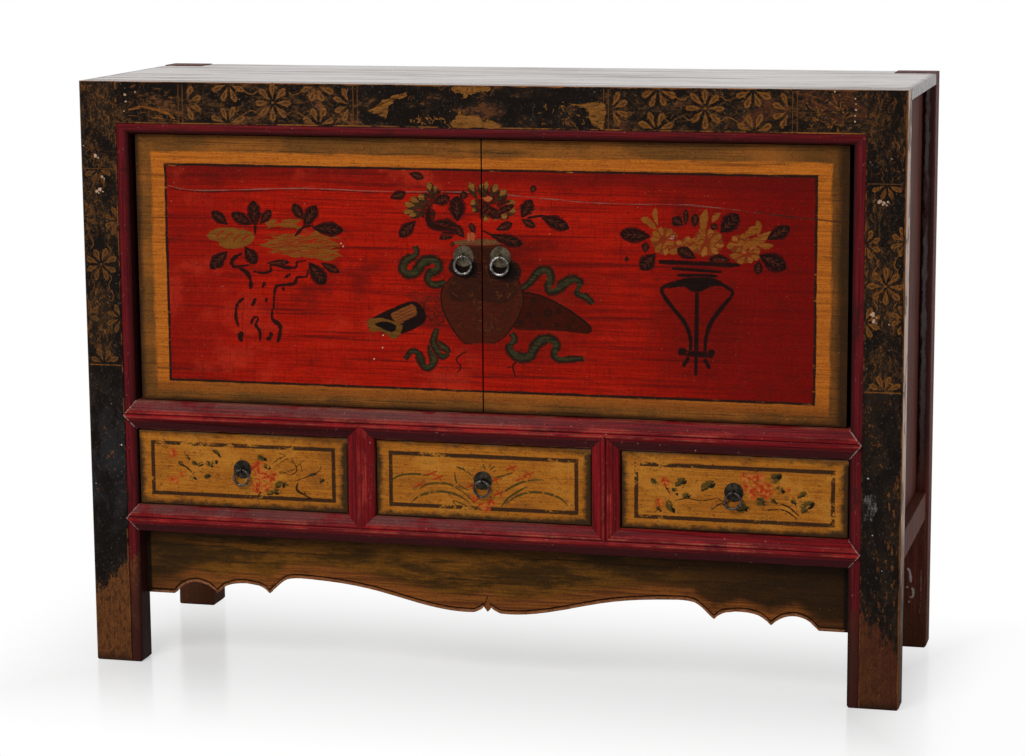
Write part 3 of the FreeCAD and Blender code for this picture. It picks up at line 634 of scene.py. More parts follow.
def door_ground(paint):
    """The coats of a door: olive border, ochre band, dark line and red field."""

    def panel(across, up, ends, foot, head):
        """1 inside a frame; each edge is where it starts and where it is full."""
        return paint.times(paint.step(across, *ends), paint.step(up, *foot), paint.step(up, *head))

    grain = paint.noise((9, 260, 620), 6.0, 0.70)
    streak = paint.noise((4.0, 60, 130), 6.0, 0.70, 2.7)
    cloud = paint.noise((9, 10, 14), 5.0, 0.62, 8.8)
    level_edge = paint.noise((24, 24, 170), 5.0, 0.70, 4.4)
    tall_edge = paint.noise((170, 60, 20), 5.0, 0.70, 1.4)
    wide = paint.sum(paint.math("ADD", paint.wide, -0.0025), tall_edge, 0.005)
    high = paint.sum(paint.math("ADD", paint.z, -0.0020), level_edge, 0.004)
    red = paint.mix((0.375, 0.009, 0.002), (0.245, 0.004, 0.001), paint.step(grain, 0.40, 0.60))
    red = paint.mix(red, (0.100, 0.004, 0.003), paint.times(paint.step(streak, 0.51, 0.66), 0.90))
    red = paint.mix(red, (0.110, 0.002, 0.002), paint.times(paint.step(paint.x, 0.12, 0.44), 0.82))
    red = paint.mix(red, (0.120, 0.004, 0.003), paint.times(paint.step(paint.x, -0.30, -0.46), 0.45))
    red = paint.mix(red, (0.085, 0.004, 0.003), paint.times(paint.step(paint.z, 0.706, 0.738), 0.62))
    red = paint.mix(red, (0.42, 0.026, 0.010), paint.times(paint.step(cloud, 0.52, 0.68),
                                                           paint.step(paint.x, 0.30, 0.05), 0.50))
    red = paint.mix(red, (0.070, 0.004, 0.003), paint.times(paint.step(cloud, 0.46, 0.30), 0.65))
    threads = paint.noise((520, 260, 26), 5.0, 0.70, 9.4)
    red = paint.mix(red, (0.085, 0.003, 0.002), paint.times(paint.step(threads, 0.54, 0.68), 0.55))
    for middle, height, half_wide, half_high, amount in ((0.046, 0.558, 0.155, 0.105, 0.55),
                                                         (0.310, 0.540, 0.075, 0.090, 0.42)):
        along = paint.math("MULTIPLY_ADD", paint.x, 1 / half_wide, -middle / half_wide)
        rise = paint.math("MULTIPLY_ADD", paint.z, 1 / half_high, -height / half_high)
        away = paint.math("ADD", paint.math("MULTIPLY", along, along), paint.math("MULTIPLY", rise, rise))
        smoke = paint.step(paint.sum(away, streak, 0.8), 1.7, 0.45)
        red = paint.mix(red, (0.058, 0.003, 0.002), paint.times(smoke, amount))
    inside = panel(wide, high, (0.4732, 0.4722), (0.4300, 0.4310), (0.7436, 0.7426))
    line = panel(wide, high, (0.4772, 0.4760), (0.4262, 0.4274), (0.7474, 0.7462))
    soft = paint.sum(paint.math("ADD", paint.wide, -0.006), tall_edge, 0.012)
    soft_high = paint.sum(paint.math("ADD", paint.z, -0.005), level_edge, 0.010)
    band = panel(soft, soft_high, (0.4985, 0.4935), (0.4100, 0.4165), (0.7655, 0.7615))
    ochre = paint.mix((0.440, 0.130, 0.013), (0.310, 0.082, 0.009), paint.step(grain, 0.40, 0.60))
    ochre = paint.mix(ochre, (0.120, 0.034, 0.007), paint.times(paint.step(streak, 0.54, 0.70), 0.85))
    ochre = paint.mix(ochre, (0.150, 0.045, 0.009), paint.times(paint.step(paint.z, 0.436, 0.416), 0.70))
    olive = paint.mix((0.230, 0.078, 0.013), (0.135, 0.054, 0.011), paint.step(cloud, 0.40, 0.58))
    olive = paint.mix(olive, (0.030, 0.016, 0.006), paint.times(paint.step(grain, 0.50, 0.66), 0.80))
    # Darker along the outer and lower edges of the doors, with painted shade under the top roll.
    rim = paint.most(paint.step(paint.sum(soft, paint.step(paint.x, 0.2, 0.4), 0.008), 0.508, 0.520),
                     paint.step(soft_high, 0.407, 0.398),
                     paint.times(paint.step(soft_high, 0.780, 0.789), 0.6))
    olive = paint.mix(olive, (0.012, 0.009, 0.005), paint.times(rim, 0.88))
    olive = paint.mix(olive, (0.034, 0.018, 0.006), paint.times(paint.step(paint.x, 0.40, 0.50), 0.34))
    colour = paint.mix(olive, ochre, band)
    dark = paint.mix((0.016, 0.007, 0.005), ochre, paint.times(paint.step(level_edge, 0.58, 0.68), 0.65))
    colour = paint.mix(colour, dark, line)
    colour = paint.mix(colour, red, inside)
    dashes = paint.noise((110, 260, 520), 4.0, 0.66, 1.3)
    colour = paint.mix(colour, (0.022, 0.007, 0.005), paint.times(paint.step(dashes, 0.62, 0.70), 0.65))
    pale = paint.noise((190, 210, 300), 3.0, 0.6, 6.6)
    colour = paint.mix(colour, (0.50, 0.21, 0.10), paint.times(paint.step(pale, 0.72, 0.75), 0.6))
    # Painted shade: the edge faces where the doors meet are near black, as in the gap between them.
    meeting_edge_shade = paint.times(paint.step(paint.math("ABSOLUTE", paint.facing[0]), 0.7, 0.9),
                          paint.step(paint.wide, 0.004, 0.002))
    colour = paint.mix(colour, (0.028, 0.008, 0.006), paint.times(meeting_edge_shade, 0.88))
    colour = paint.cracks(colour, (0.030, 0.008, 0.005), (26, 90, 150), 0.55, 3.7)
    colour = paint.grit(colour, (0.050, 0.008, 0.004), (0.46, 0.050, 0.012), 0.42, 7.2)
    colour = paint.bare_back(colour, grain)
    gloss = paint.math("MULTIPLY_ADD", grain, 0.25, 0.24)
    return colour, gloss, paint.sum(paint.times(grain, 0.55), streak, 0.45)


door_paint = Paint("door_paint")
door_paint.finish(*door_ground(door_paint))
for side in ("left", "right"):
    for piece in ("stile", "plank_lower", "plank_upper"):
        dress("door_" + side + "_" + piece, door_paint.material)

# Paintings on the doors: flowers on a rock stand at the left, a ribboned vase with a book and a fan
# across the middle, flowers on a tripod stand at the right. Thin flat brush strokes on the red, cut
# where the doors meet.
INK = (0.009, 0.006, 0.005)
FADED_GOLD = (0.185, 0.074, 0.010)
BRIGHT_GOLD = (0.250, 0.082, 0.011)
RED_VEIN = (0.240, 0.012, 0.004)
DIM_VEIN = (0.100, 0.020, 0.008)
CALYX = (0.014, 0.008, 0.005)
PETAL_BROWN = (0.050, 0.020, 0.008)
ROSE = (0.165, 0.040, 0.008)
RIBBON_DARK = (0.012, 0.011, 0.006)
RIBBON_OLIVE = (0.050, 0.040, 0.014)
MEETING_GAP = 1.1
doors = Brush(DOOR_FACE, 21)


def inked_leaf(brush, x0, z0, x1, z1, width):
    """A dark leaf with a dim red rib and side veins."""
    dx, dz = x1 - x0, z1 - z0
    length = math.hypot(dx, dz)
    brush.leaf(x0, z0, x1, z1, width * 1.16, INK, 0.95, 0.0)
    brush.under = INK
    for t in (0.24, 0.44, 0.64):
        for hand in (-1, 1):
            px, pz = x0 + t * dx, z0 + t * dz
            side = hand * 0.30 * width * math.sin(math.pi * t)
            brush.stroke([(px, pz),
                          (px + 0.20 * dx - dz / length * side, pz + 0.20 * dz + dx / length * side)],
                         1.3, DIM_VEIN, 0.74)
    brush.stroke([(x0 + 0.1 * dx, z0 + 0.1 * dz), (x1 - 0.12 * dx, z1 - 0.12 * dz)], 1.3, DIM_VEIN, 0.76)
    brush.under = None


# The plank seam across both doors: a dark crack line, with a pale painted highlight along its edge.
for drop, width, tint in ((2.2, 1.8, (0.040, 0.006, 0.004)), (0.0, 1.5, (0.230, 0.095, 0.070))):
    doors.stroke([(-471, 714 - drop), (-421, 708 - drop), (-269, 714 - drop), (-149, 712 - drop),
                  (-8, 714 - drop)], width, tint, 0.70, 1.0, 0.5)
doors.stroke([(-2, 714), (171, 702), (299, 702), (397, 693)], 1.6, (0.180, 0.075, 0.056), 0.60, 1.0, 0.5)
doors.stroke([(392, 694), (430, 690), (521, 682)], 1.8, (0.050, 0.016, 0.010), 0.74, 1.0, 0.5)

doors.shape([(-413, 643), (-404, 651), (-384, 655), (-360, 654), (-344, 649), (-340, 640), (-350, 630),
             (-372, 624), (-392, 627), (-396, 634), (-408, 637)], FADED_GOLD, 0.84)
doors.under = FADED_GOLD
for x, z in ((-398, 640), (-386, 636), (-373, 634), (-360, 634)):
    doors.stroke([(x, z), (x + 5, z + 7), (x + 14, z + 11)], 3.0, RED_VEIN, 0.80)
doors.under = None
for i in range(22):
    x, z = doors.chance.uniform(-336, -292), doors.chance.uniform(616, 658)
    far = x + doors.chance.uniform(40, 66)
    doors.leaf(x, z, min(far, -262), z + doors.chance.uniform(-3, 7), doors.chance.uniform(5, 8), FADED_GOLD,
               0.80)
for i in range(16):
    x, z = doors.chance.uniform(-288, -250), doors.chance.uniform(614, 644)
    doors.leaf(x, z, doors.chance.uniform(-228, -206), z + doors.chance.uniform(-2, 8),
               doors.chance.uniform(5, 8), FADED_GOLD, 0.80)
doors.under = FADED_GOLD
for i in range(30):
    x, z = doors.chance.uniform(-328, -240), doors.chance.uniform(618, 652)
    doors.stroke([(x, z), (x + 10, z + 1), (x + 22, z + doors.chance.uniform(2, 6))], 1.4, RED_VEIN, 0.84)
doors.under = None
for x0, z0, x1, z1, width in ((-325, 668, -309, 663, 11), (-298, 668, -268, 669, 8),
                              (-316, 664, -306, 668, 8)):
    doors.leaf(x0, z0, x1, z1, width, FADED_GOLD, 0.80)
for x0, z0, x1, z1, width in ((-380, 659, -405, 678, 14), (-343, 660, -375, 676, 16),
                              (-338, 656, -341, 695, 19), (-331, 661, -314, 682, 12),
                              (-266, 669, -280, 692, 14), (-265, 658, -245, 690, 18),
                              (-252, 658, -205, 655, 18), (-382, 620, -409, 594, 17),
                              (-355, 628, -338, 603, 17), (-258, 607, -234, 576, 21),
                              (-240, 607, -212, 594, 11), (-323, 604, -287, 607, 8)):
    inked_leaf(doors, x0, z0, x1, z1, width)
for width, line in ((3.8, [(-339, 646), (-337, 675)]), (4.3, [(-278, 645), (-265, 658), (-250, 661)]),
                    (4.6, [(-359, 618), (-370, 612), (-376, 604), (-371, 598), (-349, 601)]),
                    (5.4, [(-365, 597), (-352, 589), (-347, 576), (-348, 566)]),
                    (3.6, [(-343, 592), (-327, 590), (-316, 594), (-316, 601), (-308, 602), (-294, 599),
                           (-278, 600), (-276, 607), (-262, 610)]),
                    (3.8, [(-260, 597), (-262, 587), (-276, 585), (-281, 576), (-300, 573), (-309, 570),
                           (-312, 554), (-313, 538)]),
                    (4.3, [(-358, 553), (-369, 542), (-371, 523), (-367, 510)]),
                    (5.4, [(-315, 538), (-315, 523), (-304, 514), (-305, 499), (-308, 489)]),
                    (4.3, [(-348, 514), (-345, 522), (-338, 524), (-341, 514), (-335, 504), (-335, 489)]),
                    (6.8, [(-362, 503), (-365, 495), (-363, 488)]),
                    (5.9, [(-325, 492), (-318, 499), (-320, 504)]), (3.8, [(-330, 568), (-325, 577)]),
                    (3.8, [(-295, 584), (-286, 590)]), (4.3, [(-346, 541), (-340, 553)]),
                    (4.9, [(-325, 547), (-323, 554)]), (3.8, [(-299, 570), (-296, 565)])):
    doors.stroke(line, width * 1.15, INK, 0.90, 0.5, 0.35)
for x, z, size in ((-209, 636, 2.5), (-206, 632, 2.5), (-148, 505, 2.5), (-149, 487, 2.5), (-162, 470, 2.5)):
    doors.dot(x, z, size, (0.62, 0.42, 0.24), 0.9)

doors.shape([(-113, 561), (-106, 569), (-85, 570), (-64, 568), (-59, 546), (-54, 526), (-72, 517), (-83, 530),
             (-85, 551)], (0.100, 0.010, 0.005), 0.55, 1.5)
scratches(doors, -108, -62, 520, 566, 44, (0.030, 0.008, 0.005), 0.74, 11)
fan = [(57, 573), (83, 570), (119, 554), (145, 537), (158, 525), (152, 517), (93, 520), (46, 521), (55, 545)]
FAN_BROWN = (0.038, 0.007, 0.003)
doors.shape(fan, FAN_BROWN, 0.90)
doors.under = FAN_BROWN
for x, z, size in ((75, 562, 8), (96, 545, 12), (68, 541, 9), (56, 530, 8), (112, 548, 8), (82, 528, 7),
                   (108, 528, 7), (126, 526, 6), (132, 537, 6), (142, 527, 4)):
    for i in range(5):
        a = math.tau * i / 5 + x
        doors.dot(x + 0.36 * size * math.cos(a), z + 0.36 * size * math.sin(a), size * 0.5,
                  (0.018, 0.006, 0.004), 0.86)
scratches(doors, 56, 90, 526, 562, 26, (0.020, 0.006, 0.004), 0.66, 9)
doors.stroke(fan[:6], 2.2, INK, 0.90)
doors.under = None
vase = [(-34, 642), (29, 644), (26, 635), (31, 618), (44, 603), (56, 583), (60, 561), (53, 539), (45, 525),
        (30, 507), (14, 498), (-15, 497), (-28, 498), (-41, 513), (-50, 527), (-58, 544), (-61, 562),
        (-58, 577), (-42, 595), (-28, 615), (-26, 634)]
VASE_BROWN = (0.056, 0.012, 0.005)
doors.shape(vase, VASE_BROWN, 0.88)
doors.under = VASE_BROWN
doors.shape([(-24, 634), (24, 634), (32, 612), (46, 592), (52, 570), (30, 556), (-6, 560), (-40, 556),
             (-52, 570), (-44, 590), (-28, 612)], (0.034, 0.010, 0.005), 0.84, 1.0)
for x, z, size in ((-44, 566, 13), (-20, 556, 10), (22, 560, 15), (38, 548, 11), (-34, 540, 11),
                   (-10, 534, 12), (12, 528, 10), (30, 530, 9), (-16, 582, 11), (10, 586, 12)):
    doors.stroke([(x - size / 2, z), (x, z + size / 2), (x + size / 2, z), (x, z - size / 2),
                  (x - size / 3, z - 1)], 1.3, (0.034, 0.008, 0.005), 0.80)
for x0, x1, z0, z1 in ((-48, 46, 552, 590), (-30, 28, 592, 632), (-42, 40, 514, 552)):
    scratches(doors, x0, x1, z0, z1, 26, (0.026, 0.009, 0.005), 0.64, 14)
    scratches(doors, x0, x1, z0, z1, 14, (0.085, 0.030, 0.009), 0.60, 10)
doors.stroke(vase[3:11], 2.0, INK, 0.90)
doors.stroke(vase[11:20], 2.0, INK, 0.90)
doors.under = None
doors.shape([(-34, 645), (28, 648), (30, 641), (-34, 638)], (0.125, 0.062, 0.024), 0.82)
doors.under = VASE_BROWN
# Painted shadow of the pulls, with handling dirt: dark patches about the rings.
for cover, spread in ((0.70, 1.25), (0.95, 0.95)):
    for x, z in ((-24, 606), (32, 603)):
        outline = [(-19, 6), (-4, 14), (12, 12), (20, 2), (16, -10), (-2, -14), (-17, -8)]
        doors.shape([(x + spread * u, z + spread * v) for u, v in outline], (0.008, 0.005, 0.004), cover, 1.5)
doors.under = None

for x, z, reach, first, final in ((-68, 692, 27, 60, 250), (18, 693, 28, -40, 220)):
    for i in range(13):
        a = math.radians(first + (final - first) * i / 12)
        doors.leaf(x + 4 * math.cos(a), z + 4 * math.sin(a), x + reach * math.cos(a),
                   z + 0.9 * reach * math.sin(a), 9, CALYX, 0.84, 0.06)
for x0, z0, x1, z1, width in ((-84, 686, -115, 684, 9), (-82, 690, -113, 696, 10), (-80, 692, -104, 704, 11),
                              (-76, 694, -92, 708, 12), (-74, 700, -77, 727, 10), (-70, 702, -67, 722, 8),
                              (-82, 682, -107, 678, 8), (2, 700, 0, 727, 10), (-4, 700, -17, 728, 11),
                              (5, 702, 8, 729, 8), (12, 702, 23, 725, 11), (17, 700, 36, 718, 11),
                              (20, 696, 49, 701, 11), (20, 690, 50, 688, 11), (16, 688, 37, 679, 11),
                              (12, 686, 23, 676, 10), (4, 688, 7, 673, 9), (-2, 694, -16, 700, 11),
                              (-2, 690, -14, 688, 8)):
    doors.under = CALYX
    doors.leaf(x0, z0, x1, z1, width, PETAL_BROWN, 0.85, 0.04, 0.70)
    doors.under = PETAL_BROWN
    doors.leaf((x0 + x1) / 2, (z0 + z1) / 2, x1, z1, width * 0.80, (0.245, 0.098, 0.016), 0.74, 0.03, 0.62)
doors.under = None
doors.leaf(1, 706, 16, 706, 7, (0.42, 0.110, 0.030), 0.9)
for x, z in ((-20, 652), (-12, 654)):
    doors.leaf(x, 643, x, z + 4, 7, (0.36, 0.085, 0.030), 0.85)
for x0, z0, x1, z1, width in ((-106, 739, -84, 732, 10), (-135, 703, -111, 711, 12), (-71, 697, -46, 706, 14),
                              (-97, 671, -122, 647, 16), (-36, 672, -36, 708, 22), (-28, 715, -24, 704, 11),
                              (-34, 659, -63, 646, 11), (-76, 669, -32, 659, 19), (-26, 649, -41, 667, 12),
                              (-10, 655, -17, 670, 9), (58, 679, 73, 705, 17), (72, 715, 78, 725, 8),
                              (86, 682, 127, 665, 17), (58, 677, 78, 666, 10), (21, 661, 45, 671, 11),
                              (11, 654, 60, 641, 15), (-39, 639, -47, 639, 5), (2, 693, 29, 679, 14),
                              (-2, 683, 9, 696, 11), (14, 681, 48, 697, 9)):
    inked_leaf(doors, x0, z0, x1, z1, width)
for width, line in ((10.5, [(-77, 691), (-78, 674), (-70, 664), (-36, 659)]), (4.1, [(66, 679), (91, 683)]),
                    (2.6, [(0, 660), (16, 653)]), (3.6, [(22, 696), (42, 702)]),
                    (2.3, [(-23, 486), (-39, 475), (-33, 462), (-39, 454)]),
                    (2.6, [(33, 485), (50, 475), (44, 467), (48, 451)]), (1.8, [(35, 464), (46, 467)])):
    doors.stroke(line, width, INK, 0.9)
for width, line in ((12.5, [(-99, 635), (-97, 625), (-108, 617), (-116, 606), (-111, 596), (-98, 599),
                            (-88, 611), (-79, 615), (-68, 613), (-66, 605), (-75, 597), (-79, 587),
                            (-69, 580), (-54, 585)]),
                    (10.0, [(-116, 471), (-105, 483), (-96, 479), (-89, 465), (-81, 461), (-73, 471),
                            (-76, 489), (-67, 494), (-54, 488), (-50, 482)]),
                    (9.0, [(-50, 482), (-60, 478), (-68, 487), (-73, 499), (-67, 518)]),
                    (11.5, [(57, 578), (70, 588), (83, 603), (97, 602), (98, 584), (102, 577), (117, 585),
                            (130, 593), (141, 588), (139, 576), (151, 569), (161, 560)]),
                    (12.0, [(42, 514), (46, 506), (40, 493), (51, 481), (68, 482), (77, 497), (90, 507),
                            (105, 503), (106, 488), (112, 480), (147, 481)])):
    doors.under = None
    doors.stroke(line, width * 1.40, RIBBON_DARK, 0.94, 0.5, 0.05)
    doors.under = RIBBON_DARK
    doors.stroke(line, width * 0.70, RIBBON_OLIVE, 0.62, 0.4, 0.14)
doors.under = None
doors.shape([(-166, 527), (-136, 544), (-109, 555), (-93, 553), (-84, 540), (-86, 525), (-118, 508),
             (-134, 513), (-155, 515)], INK, 0.97)
doors.under = INK
doors.shape([(-136, 535), (-121, 544), (-106, 551), (-99, 548), (-97, 540), (-99, 535), (-112, 528),
             (-125, 522)], (0.190, 0.056, 0.012), 0.92)
for i in range(4):
    doors.stroke([(-131 + 3 * i, 534 - 3.2 * i), (-104 + 2.5 * i, 548 - 4 * i)], 1.1, (0.120, 0.020, 0.008),
                 0.9)
doors.shape([(-170, 527), (-149, 530), (-122, 522), (-119, 516), (-123, 505), (-134, 500), (-144, 507),
             (-155, 511), (-166, 509), (-171, 518)], (0.165, 0.062, 0.010), 0.88)
doors.shape([(-160, 521), (-144, 525), (-128, 519), (-134, 510), (-150, 515)], INK, 0.95)
doors.under = None

for outline in ([(244, 652), (248, 664), (258, 670), (272, 668), (281, 658), (276, 642), (264, 632),
                 (250, 637)], [(270, 636), (280, 650), (296, 658), (306, 652), (303, 640), (290, 632)],
                [(300, 640), (304, 656), (312, 668), (328, 670), (342, 662), (346, 648), (336, 634),
                 (316, 632)], [(352, 644), (360, 660), (374, 664), (384, 656), (380, 644), (366, 636)],
                [(356, 634), (372, 640), (388, 648), (396, 644), (396, 632), (384, 624), (366, 624)]):
    doors.under = None
    doors.shape(outline, ROSE, 0.80)
    doors.under = ROSE
    mx, mz = (sum(values) / len(outline) for values in zip(*outline))
    for x, z in outline:
        tint = BRIGHT_GOLD if doors.chance.random() < 0.6 else (0.31, 0.098, 0.018)
        doors.leaf(0.7 * mx + 0.3 * x, 0.7 * mz + 0.3 * z, 1.06 * x - 0.06 * mx, 1.06 * z - 0.06 * mz, 7.5,
                   tint, 0.78)
    for (ax, az), (bx, bz) in zip(outline, outline[1:] + outline[:1]):
        doors.stroke([(mx, mz), (0.5 * mx + 0.25 * (ax + bx), 0.5 * mz + 0.25 * (az + bz)),
                      ((ax + bx) / 2, (az + bz) / 2)], 1.3, RED_VEIN, 0.84)
doors.under = None
for x0, z0, x1, z1, width in ((249, 668, 229, 682, 10), (254, 672, 251, 698, 7), (252, 668, 242, 678, 9),
                              (320, 660, 323, 697, 12), (330, 678, 342, 692, 8), (374, 658, 400, 672, 12),
                              (366, 648, 412, 668, 12), (393, 662, 393, 683, 9), (392, 651, 416, 649, 8),
                              (396, 636, 392, 646, 12), (258, 640, 278, 664, 11), (288, 640, 300, 652, 10),
                              (312, 640, 318, 664, 12), (330, 640, 338, 660, 10), (362, 646, 376, 660, 9)):
    doors.leaf(x0, z0, x1, z1, width, BRIGHT_GOLD, 0.82)
for x, z in ((256, 650), (270, 656), (290, 645), (310, 650), (324, 658), (333, 646), (366, 652), (380, 634),
             (264, 640)):
    doors.stroke([(x, z), (x + 5, z + 5), (x + 11, z + 2)], 1.5, (0.150, 0.030, 0.006), 0.8)
doors.dot(275, 655, 9, (0.42, 0.28, 0.20), 0.55)
for x0, z0, x1, z1, width in ((243, 657, 199, 660, 20), (235, 634, 237, 649, 10), (250, 633, 229, 610, 19),
                              (289, 674, 274, 684, 13), (293, 674, 293, 697, 7), (305, 671, 307, 690, 10),
                              (342, 665, 367, 691, 21), (338, 670, 328, 675, 9), (407, 657, 439, 675, 16),
                              (307, 628, 281, 641, 15), (356, 627, 326, 627, 13), (397, 635, 434, 617, 22),
                              (396, 627, 394, 608, 11), (213, 624, 206, 625, 7)):
    inked_leaf(doors, x0, z0, x1, z1, width)
for width, line in ((6.8, [(255, 622), (369, 620)]), (4.7, [(274, 613), (344, 610)]),
                    (5.3, [(281, 604), (338, 604)]),
                    (6.0, [(283, 596), (263, 587), (260, 579), (273, 560), (292, 537), (300, 516),
                           (300, 497)]),
                    (6.0, [(334, 599), (355, 586), (358, 578), (342, 557), (329, 538), (322, 516),
                           (321, 495)]), (6.0, [(309, 585), (309, 537), (308, 463)]),
                    (8.0, [(286, 494), (332, 493)]), (6.3, [(298, 489), (290, 475)]),
                    (5.8, [(320, 487), (328, 473)])):
    doors.stroke(line, width, INK, 0.92, 0.7)
doors.shape([(289, 600), (331, 601), (350, 591), (329, 589), (314, 581), (302, 581), (289, 588),
             (267, 585)], INK, 0.95)
doors.dot(288, 497, 14, INK)
doors.dot(330, 495, 13, INK)
door_strokes = stroke_paint("door_picture_paint", door_ground, (40, 260, 520))
doors.lay("door_left_picture", "door_left", "door_paint", door_strokes, (-1, MEETING_GAP))
doors.lay("door_right_picture", "door_right", "door_paint", door_strokes, (1, MEETING_GAP))

# Drawers: thick fronts with eased edges, painted ochre with a dark rubbed border, widened on the right by
# painted shade, and a black line, on thin dovetailed boxes of bare wood. Each front carries a light sketch
# of flowers.
DRAWER_FACE = FRONT + 0.008
DRAWER_MIDDLE, DRAWER_HALF = 0.2969, 0.0557
DRAWERS = {"left": (-0.364, 0.161), "middle": (0.0, 0.159), "right": (0.364, 0.161)}


def drawer_ground(paint, middle, half):
    """Ochre with a dark rubbed rim, widened on the right by painted shade, and a black line, about the middle
    of a front.
    """
    across = paint.math("ABSOLUTE", paint.math("SUBTRACT", paint.x, middle))
    up = paint.math("SUBTRACT", paint.z, DRAWER_MIDDLE)
    tall = paint.math("ABSOLUTE", up)
    grain = paint.noise((11, 240, 520), 6.0, 0.70, middle * 11)
    cloud = paint.noise((16, 20, 26), 5.0, 0.66, 3.0 + middle * 13)
    edge = paint.noise((75, 75, 110), 5.0, 0.72, 6.0 + middle * 5)
    inset = paint.math("MINIMUM", paint.math("SUBTRACT", half, across),
                       paint.math("SUBTRACT", DRAWER_HALF, tall))
    ochre = paint.mix((0.385, 0.132, 0.012), (0.272, 0.087, 0.009), paint.step(grain, 0.40, 0.60))
    ochre = paint.mix(ochre, (0.440, 0.175, 0.022), paint.times(paint.step(cloud, 0.50, 0.64), 0.6))
    ochre = paint.mix(ochre, (0.200, 0.062, 0.010), paint.times(paint.step(cloud, 0.44, 0.32), 0.6))
    ochre = paint.mix(ochre, (0.100, 0.030, 0.008), paint.times(paint.step(edge, 0.58, 0.70), 0.6))
    ragged = paint.sum(paint.math("ADD", inset, 0.0020), edge, -0.017)
    ragged = paint.sum(ragged, paint.step(up, 0.030, 0.046), 0.0025)
    # Painted shade: the dark rim is widened on the right side of each front.
    ragged = paint.sum(ragged, paint.step(paint.math("SUBTRACT", paint.x, middle), 0.06, half), -0.003)
    rim = paint.times(paint.step(ragged, 0.0056, -0.0040), paint.step(up, 0.060, 0.046))
    colour = paint.mix(ochre, (0.018, 0.014, 0.008), paint.times(rim, 0.94))
    frame_in = paint.math("MINIMUM", paint.math("SUBTRACT", half - 0.0035, across),
                          paint.math("SUBTRACT", DRAWER_HALF, tall))
    wavy = paint.sum(frame_in, edge, 0.0024)
    gaps = paint.most(paint.step(cloud, 0.60, 0.54), paint.step(edge, 0.56, 0.48))
    line = paint.times(paint.band(wavy, 0.0162, 0.0220, 0.0006), gaps, paint.step(edge, 0.76, 0.64))
    colour = paint.mix(colour, (0.014, 0.009, 0.006), paint.times(line, 0.94))
    # Pale along the top edge: wear, with a painted highlight on the rounded arris.
    wear_and_highlight = paint.times(paint.step(inset, 0.0020, 0.0006), paint.step(cloud, 0.42, 0.54),
                      paint.step(up, 0.046, 0.052))
    colour = paint.mix(colour, (0.30, 0.200, 0.125), paint.times(wear_and_highlight, 0.85))
    specks = paint.noise((150, 260, 320), 3.0, 0.6, 2.9 + middle)
    colour = paint.mix(colour, (0.030, 0.011, 0.006), paint.times(paint.step(specks, 0.63, 0.69), 0.7))
    colour = paint.cracks(colour, (0.050, 0.018, 0.007), (34, 90, 130), 0.60, 2.3 + middle)
    colour = paint.grit(colour, (0.085, 0.028, 0.008), (0.52, 0.235, 0.050), 0.44, 5.1 + middle)
    colour = paint.bare_back(colour, grain)
    gloss = paint.math("MULTIPLY_ADD", grain, 0.22, 0.26)
    return colour, gloss, paint.sum(paint.times(grain, 0.5), cloud, 0.5)


PETAL = (0.35, 0.028, 0.007)
PALE_PETAL = (0.50, 0.150, 0.026)
BLOOM = (0.43, 0.085, 0.012)
GREEN = (0.056, 0.046, 0.011)
arts = {name: Brush(DRAWER_FACE, 40 + i) for i, name in enumerate(DRAWERS)}


def peony(brush, places, size):
    """A loose flower of overlapping short strokes."""
    for x, z in places:
        brush.dot(x, z, size * 1.5, BLOOM, 0.88)
    brush.under = BLOOM
    for x, z in places:
        for i in range(9):
            a = brush.chance.uniform(0, math.tau)
            r = size * brush.chance.uniform(0.35, 0.75)
            tint = PETAL if brush.chance.random() < 0.55 else PALE_PETAL
            brush.leaf(x, z, x + r * math.cos(a), z + r * math.sin(a), size * 0.36, tint, 0.84, 0.2)
    brush.under = None


def sprig(brush, x0, z0, x1, z1, width):
    """A small green leaf with its inked side and rib."""
    brush.leaf(x0, z0, x1, z1, width * 1.2, GREEN, 0.80)
    brush.under = GREEN
    brush.stroke([(x0, z0), ((x0 + x1) / 2 + 1, (z0 + z1) / 2 - 1), (x1, z1)], 1.5, INK, 0.86)
    brush.leaf(x0 + 2, z0 - 2, (x0 + x1) / 2 + 2, (z0 + z1) / 2 - 2, width * 0.5, INK, 0.84)
    brush.under = None


art = arts["left"]
peony(art, [(-341, 305), (-332, 297), (-321, 293), (-341, 286), (-330, 282), (-343, 275), (-328, 273),
            (-338, 294)], 14)
peony(art, [(-472, 319), (-471, 279)], 11)
peony(art, [(-459, 288)], 6)
for row in ((-448, 312, -451, 319, 5), (-455, 301, -465, 306, 5), (-437, 284, -446, 286, 6),
            (-416, 291, -424, 285, 7), (-411, 303, -420, 310, 7), (-403, 312, -413, 302, 6),
            (-434, 304, -442, 309, 6), (-398, 319, -411, 326, 5), (-297, 283, -316, 274, 9),
            (-308, 272, -327, 263, 8), (-328, 316, -340, 322, 9), (-322, 306, -331, 304, 7),
            (-426, 308, -432, 300, 5), (-240, 292, -246, 286, 6), (-252, 300, -262, 296, 5)):
    sprig(art, *row)
for width, line in ((2.2, [(-455, 302), (-443, 292)]),
                    (3.6, [(-279, 284), (-281, 273), (-268, 265), (-258, 260)]),
                    (2.7, [(-270, 270), (-264, 259)]), (2.0, [(-341, 261), (-336, 268)]),
                    (1.3, [(-318, 310), (-307, 319), (-298, 323), (-309, 327)]),
                    (1.3, [(-314, 306), (-296, 318), (-285, 314), (-281, 301), (-292, 295), (-304, 300)]),
                    (1.2, [(-306, 296), (-286, 303), (-276, 312), (-272, 300)]),
                    (1.2, [(-286, 285), (-250, 300), (-243, 311)])):
    art.stroke(line, width, INK, 0.86)

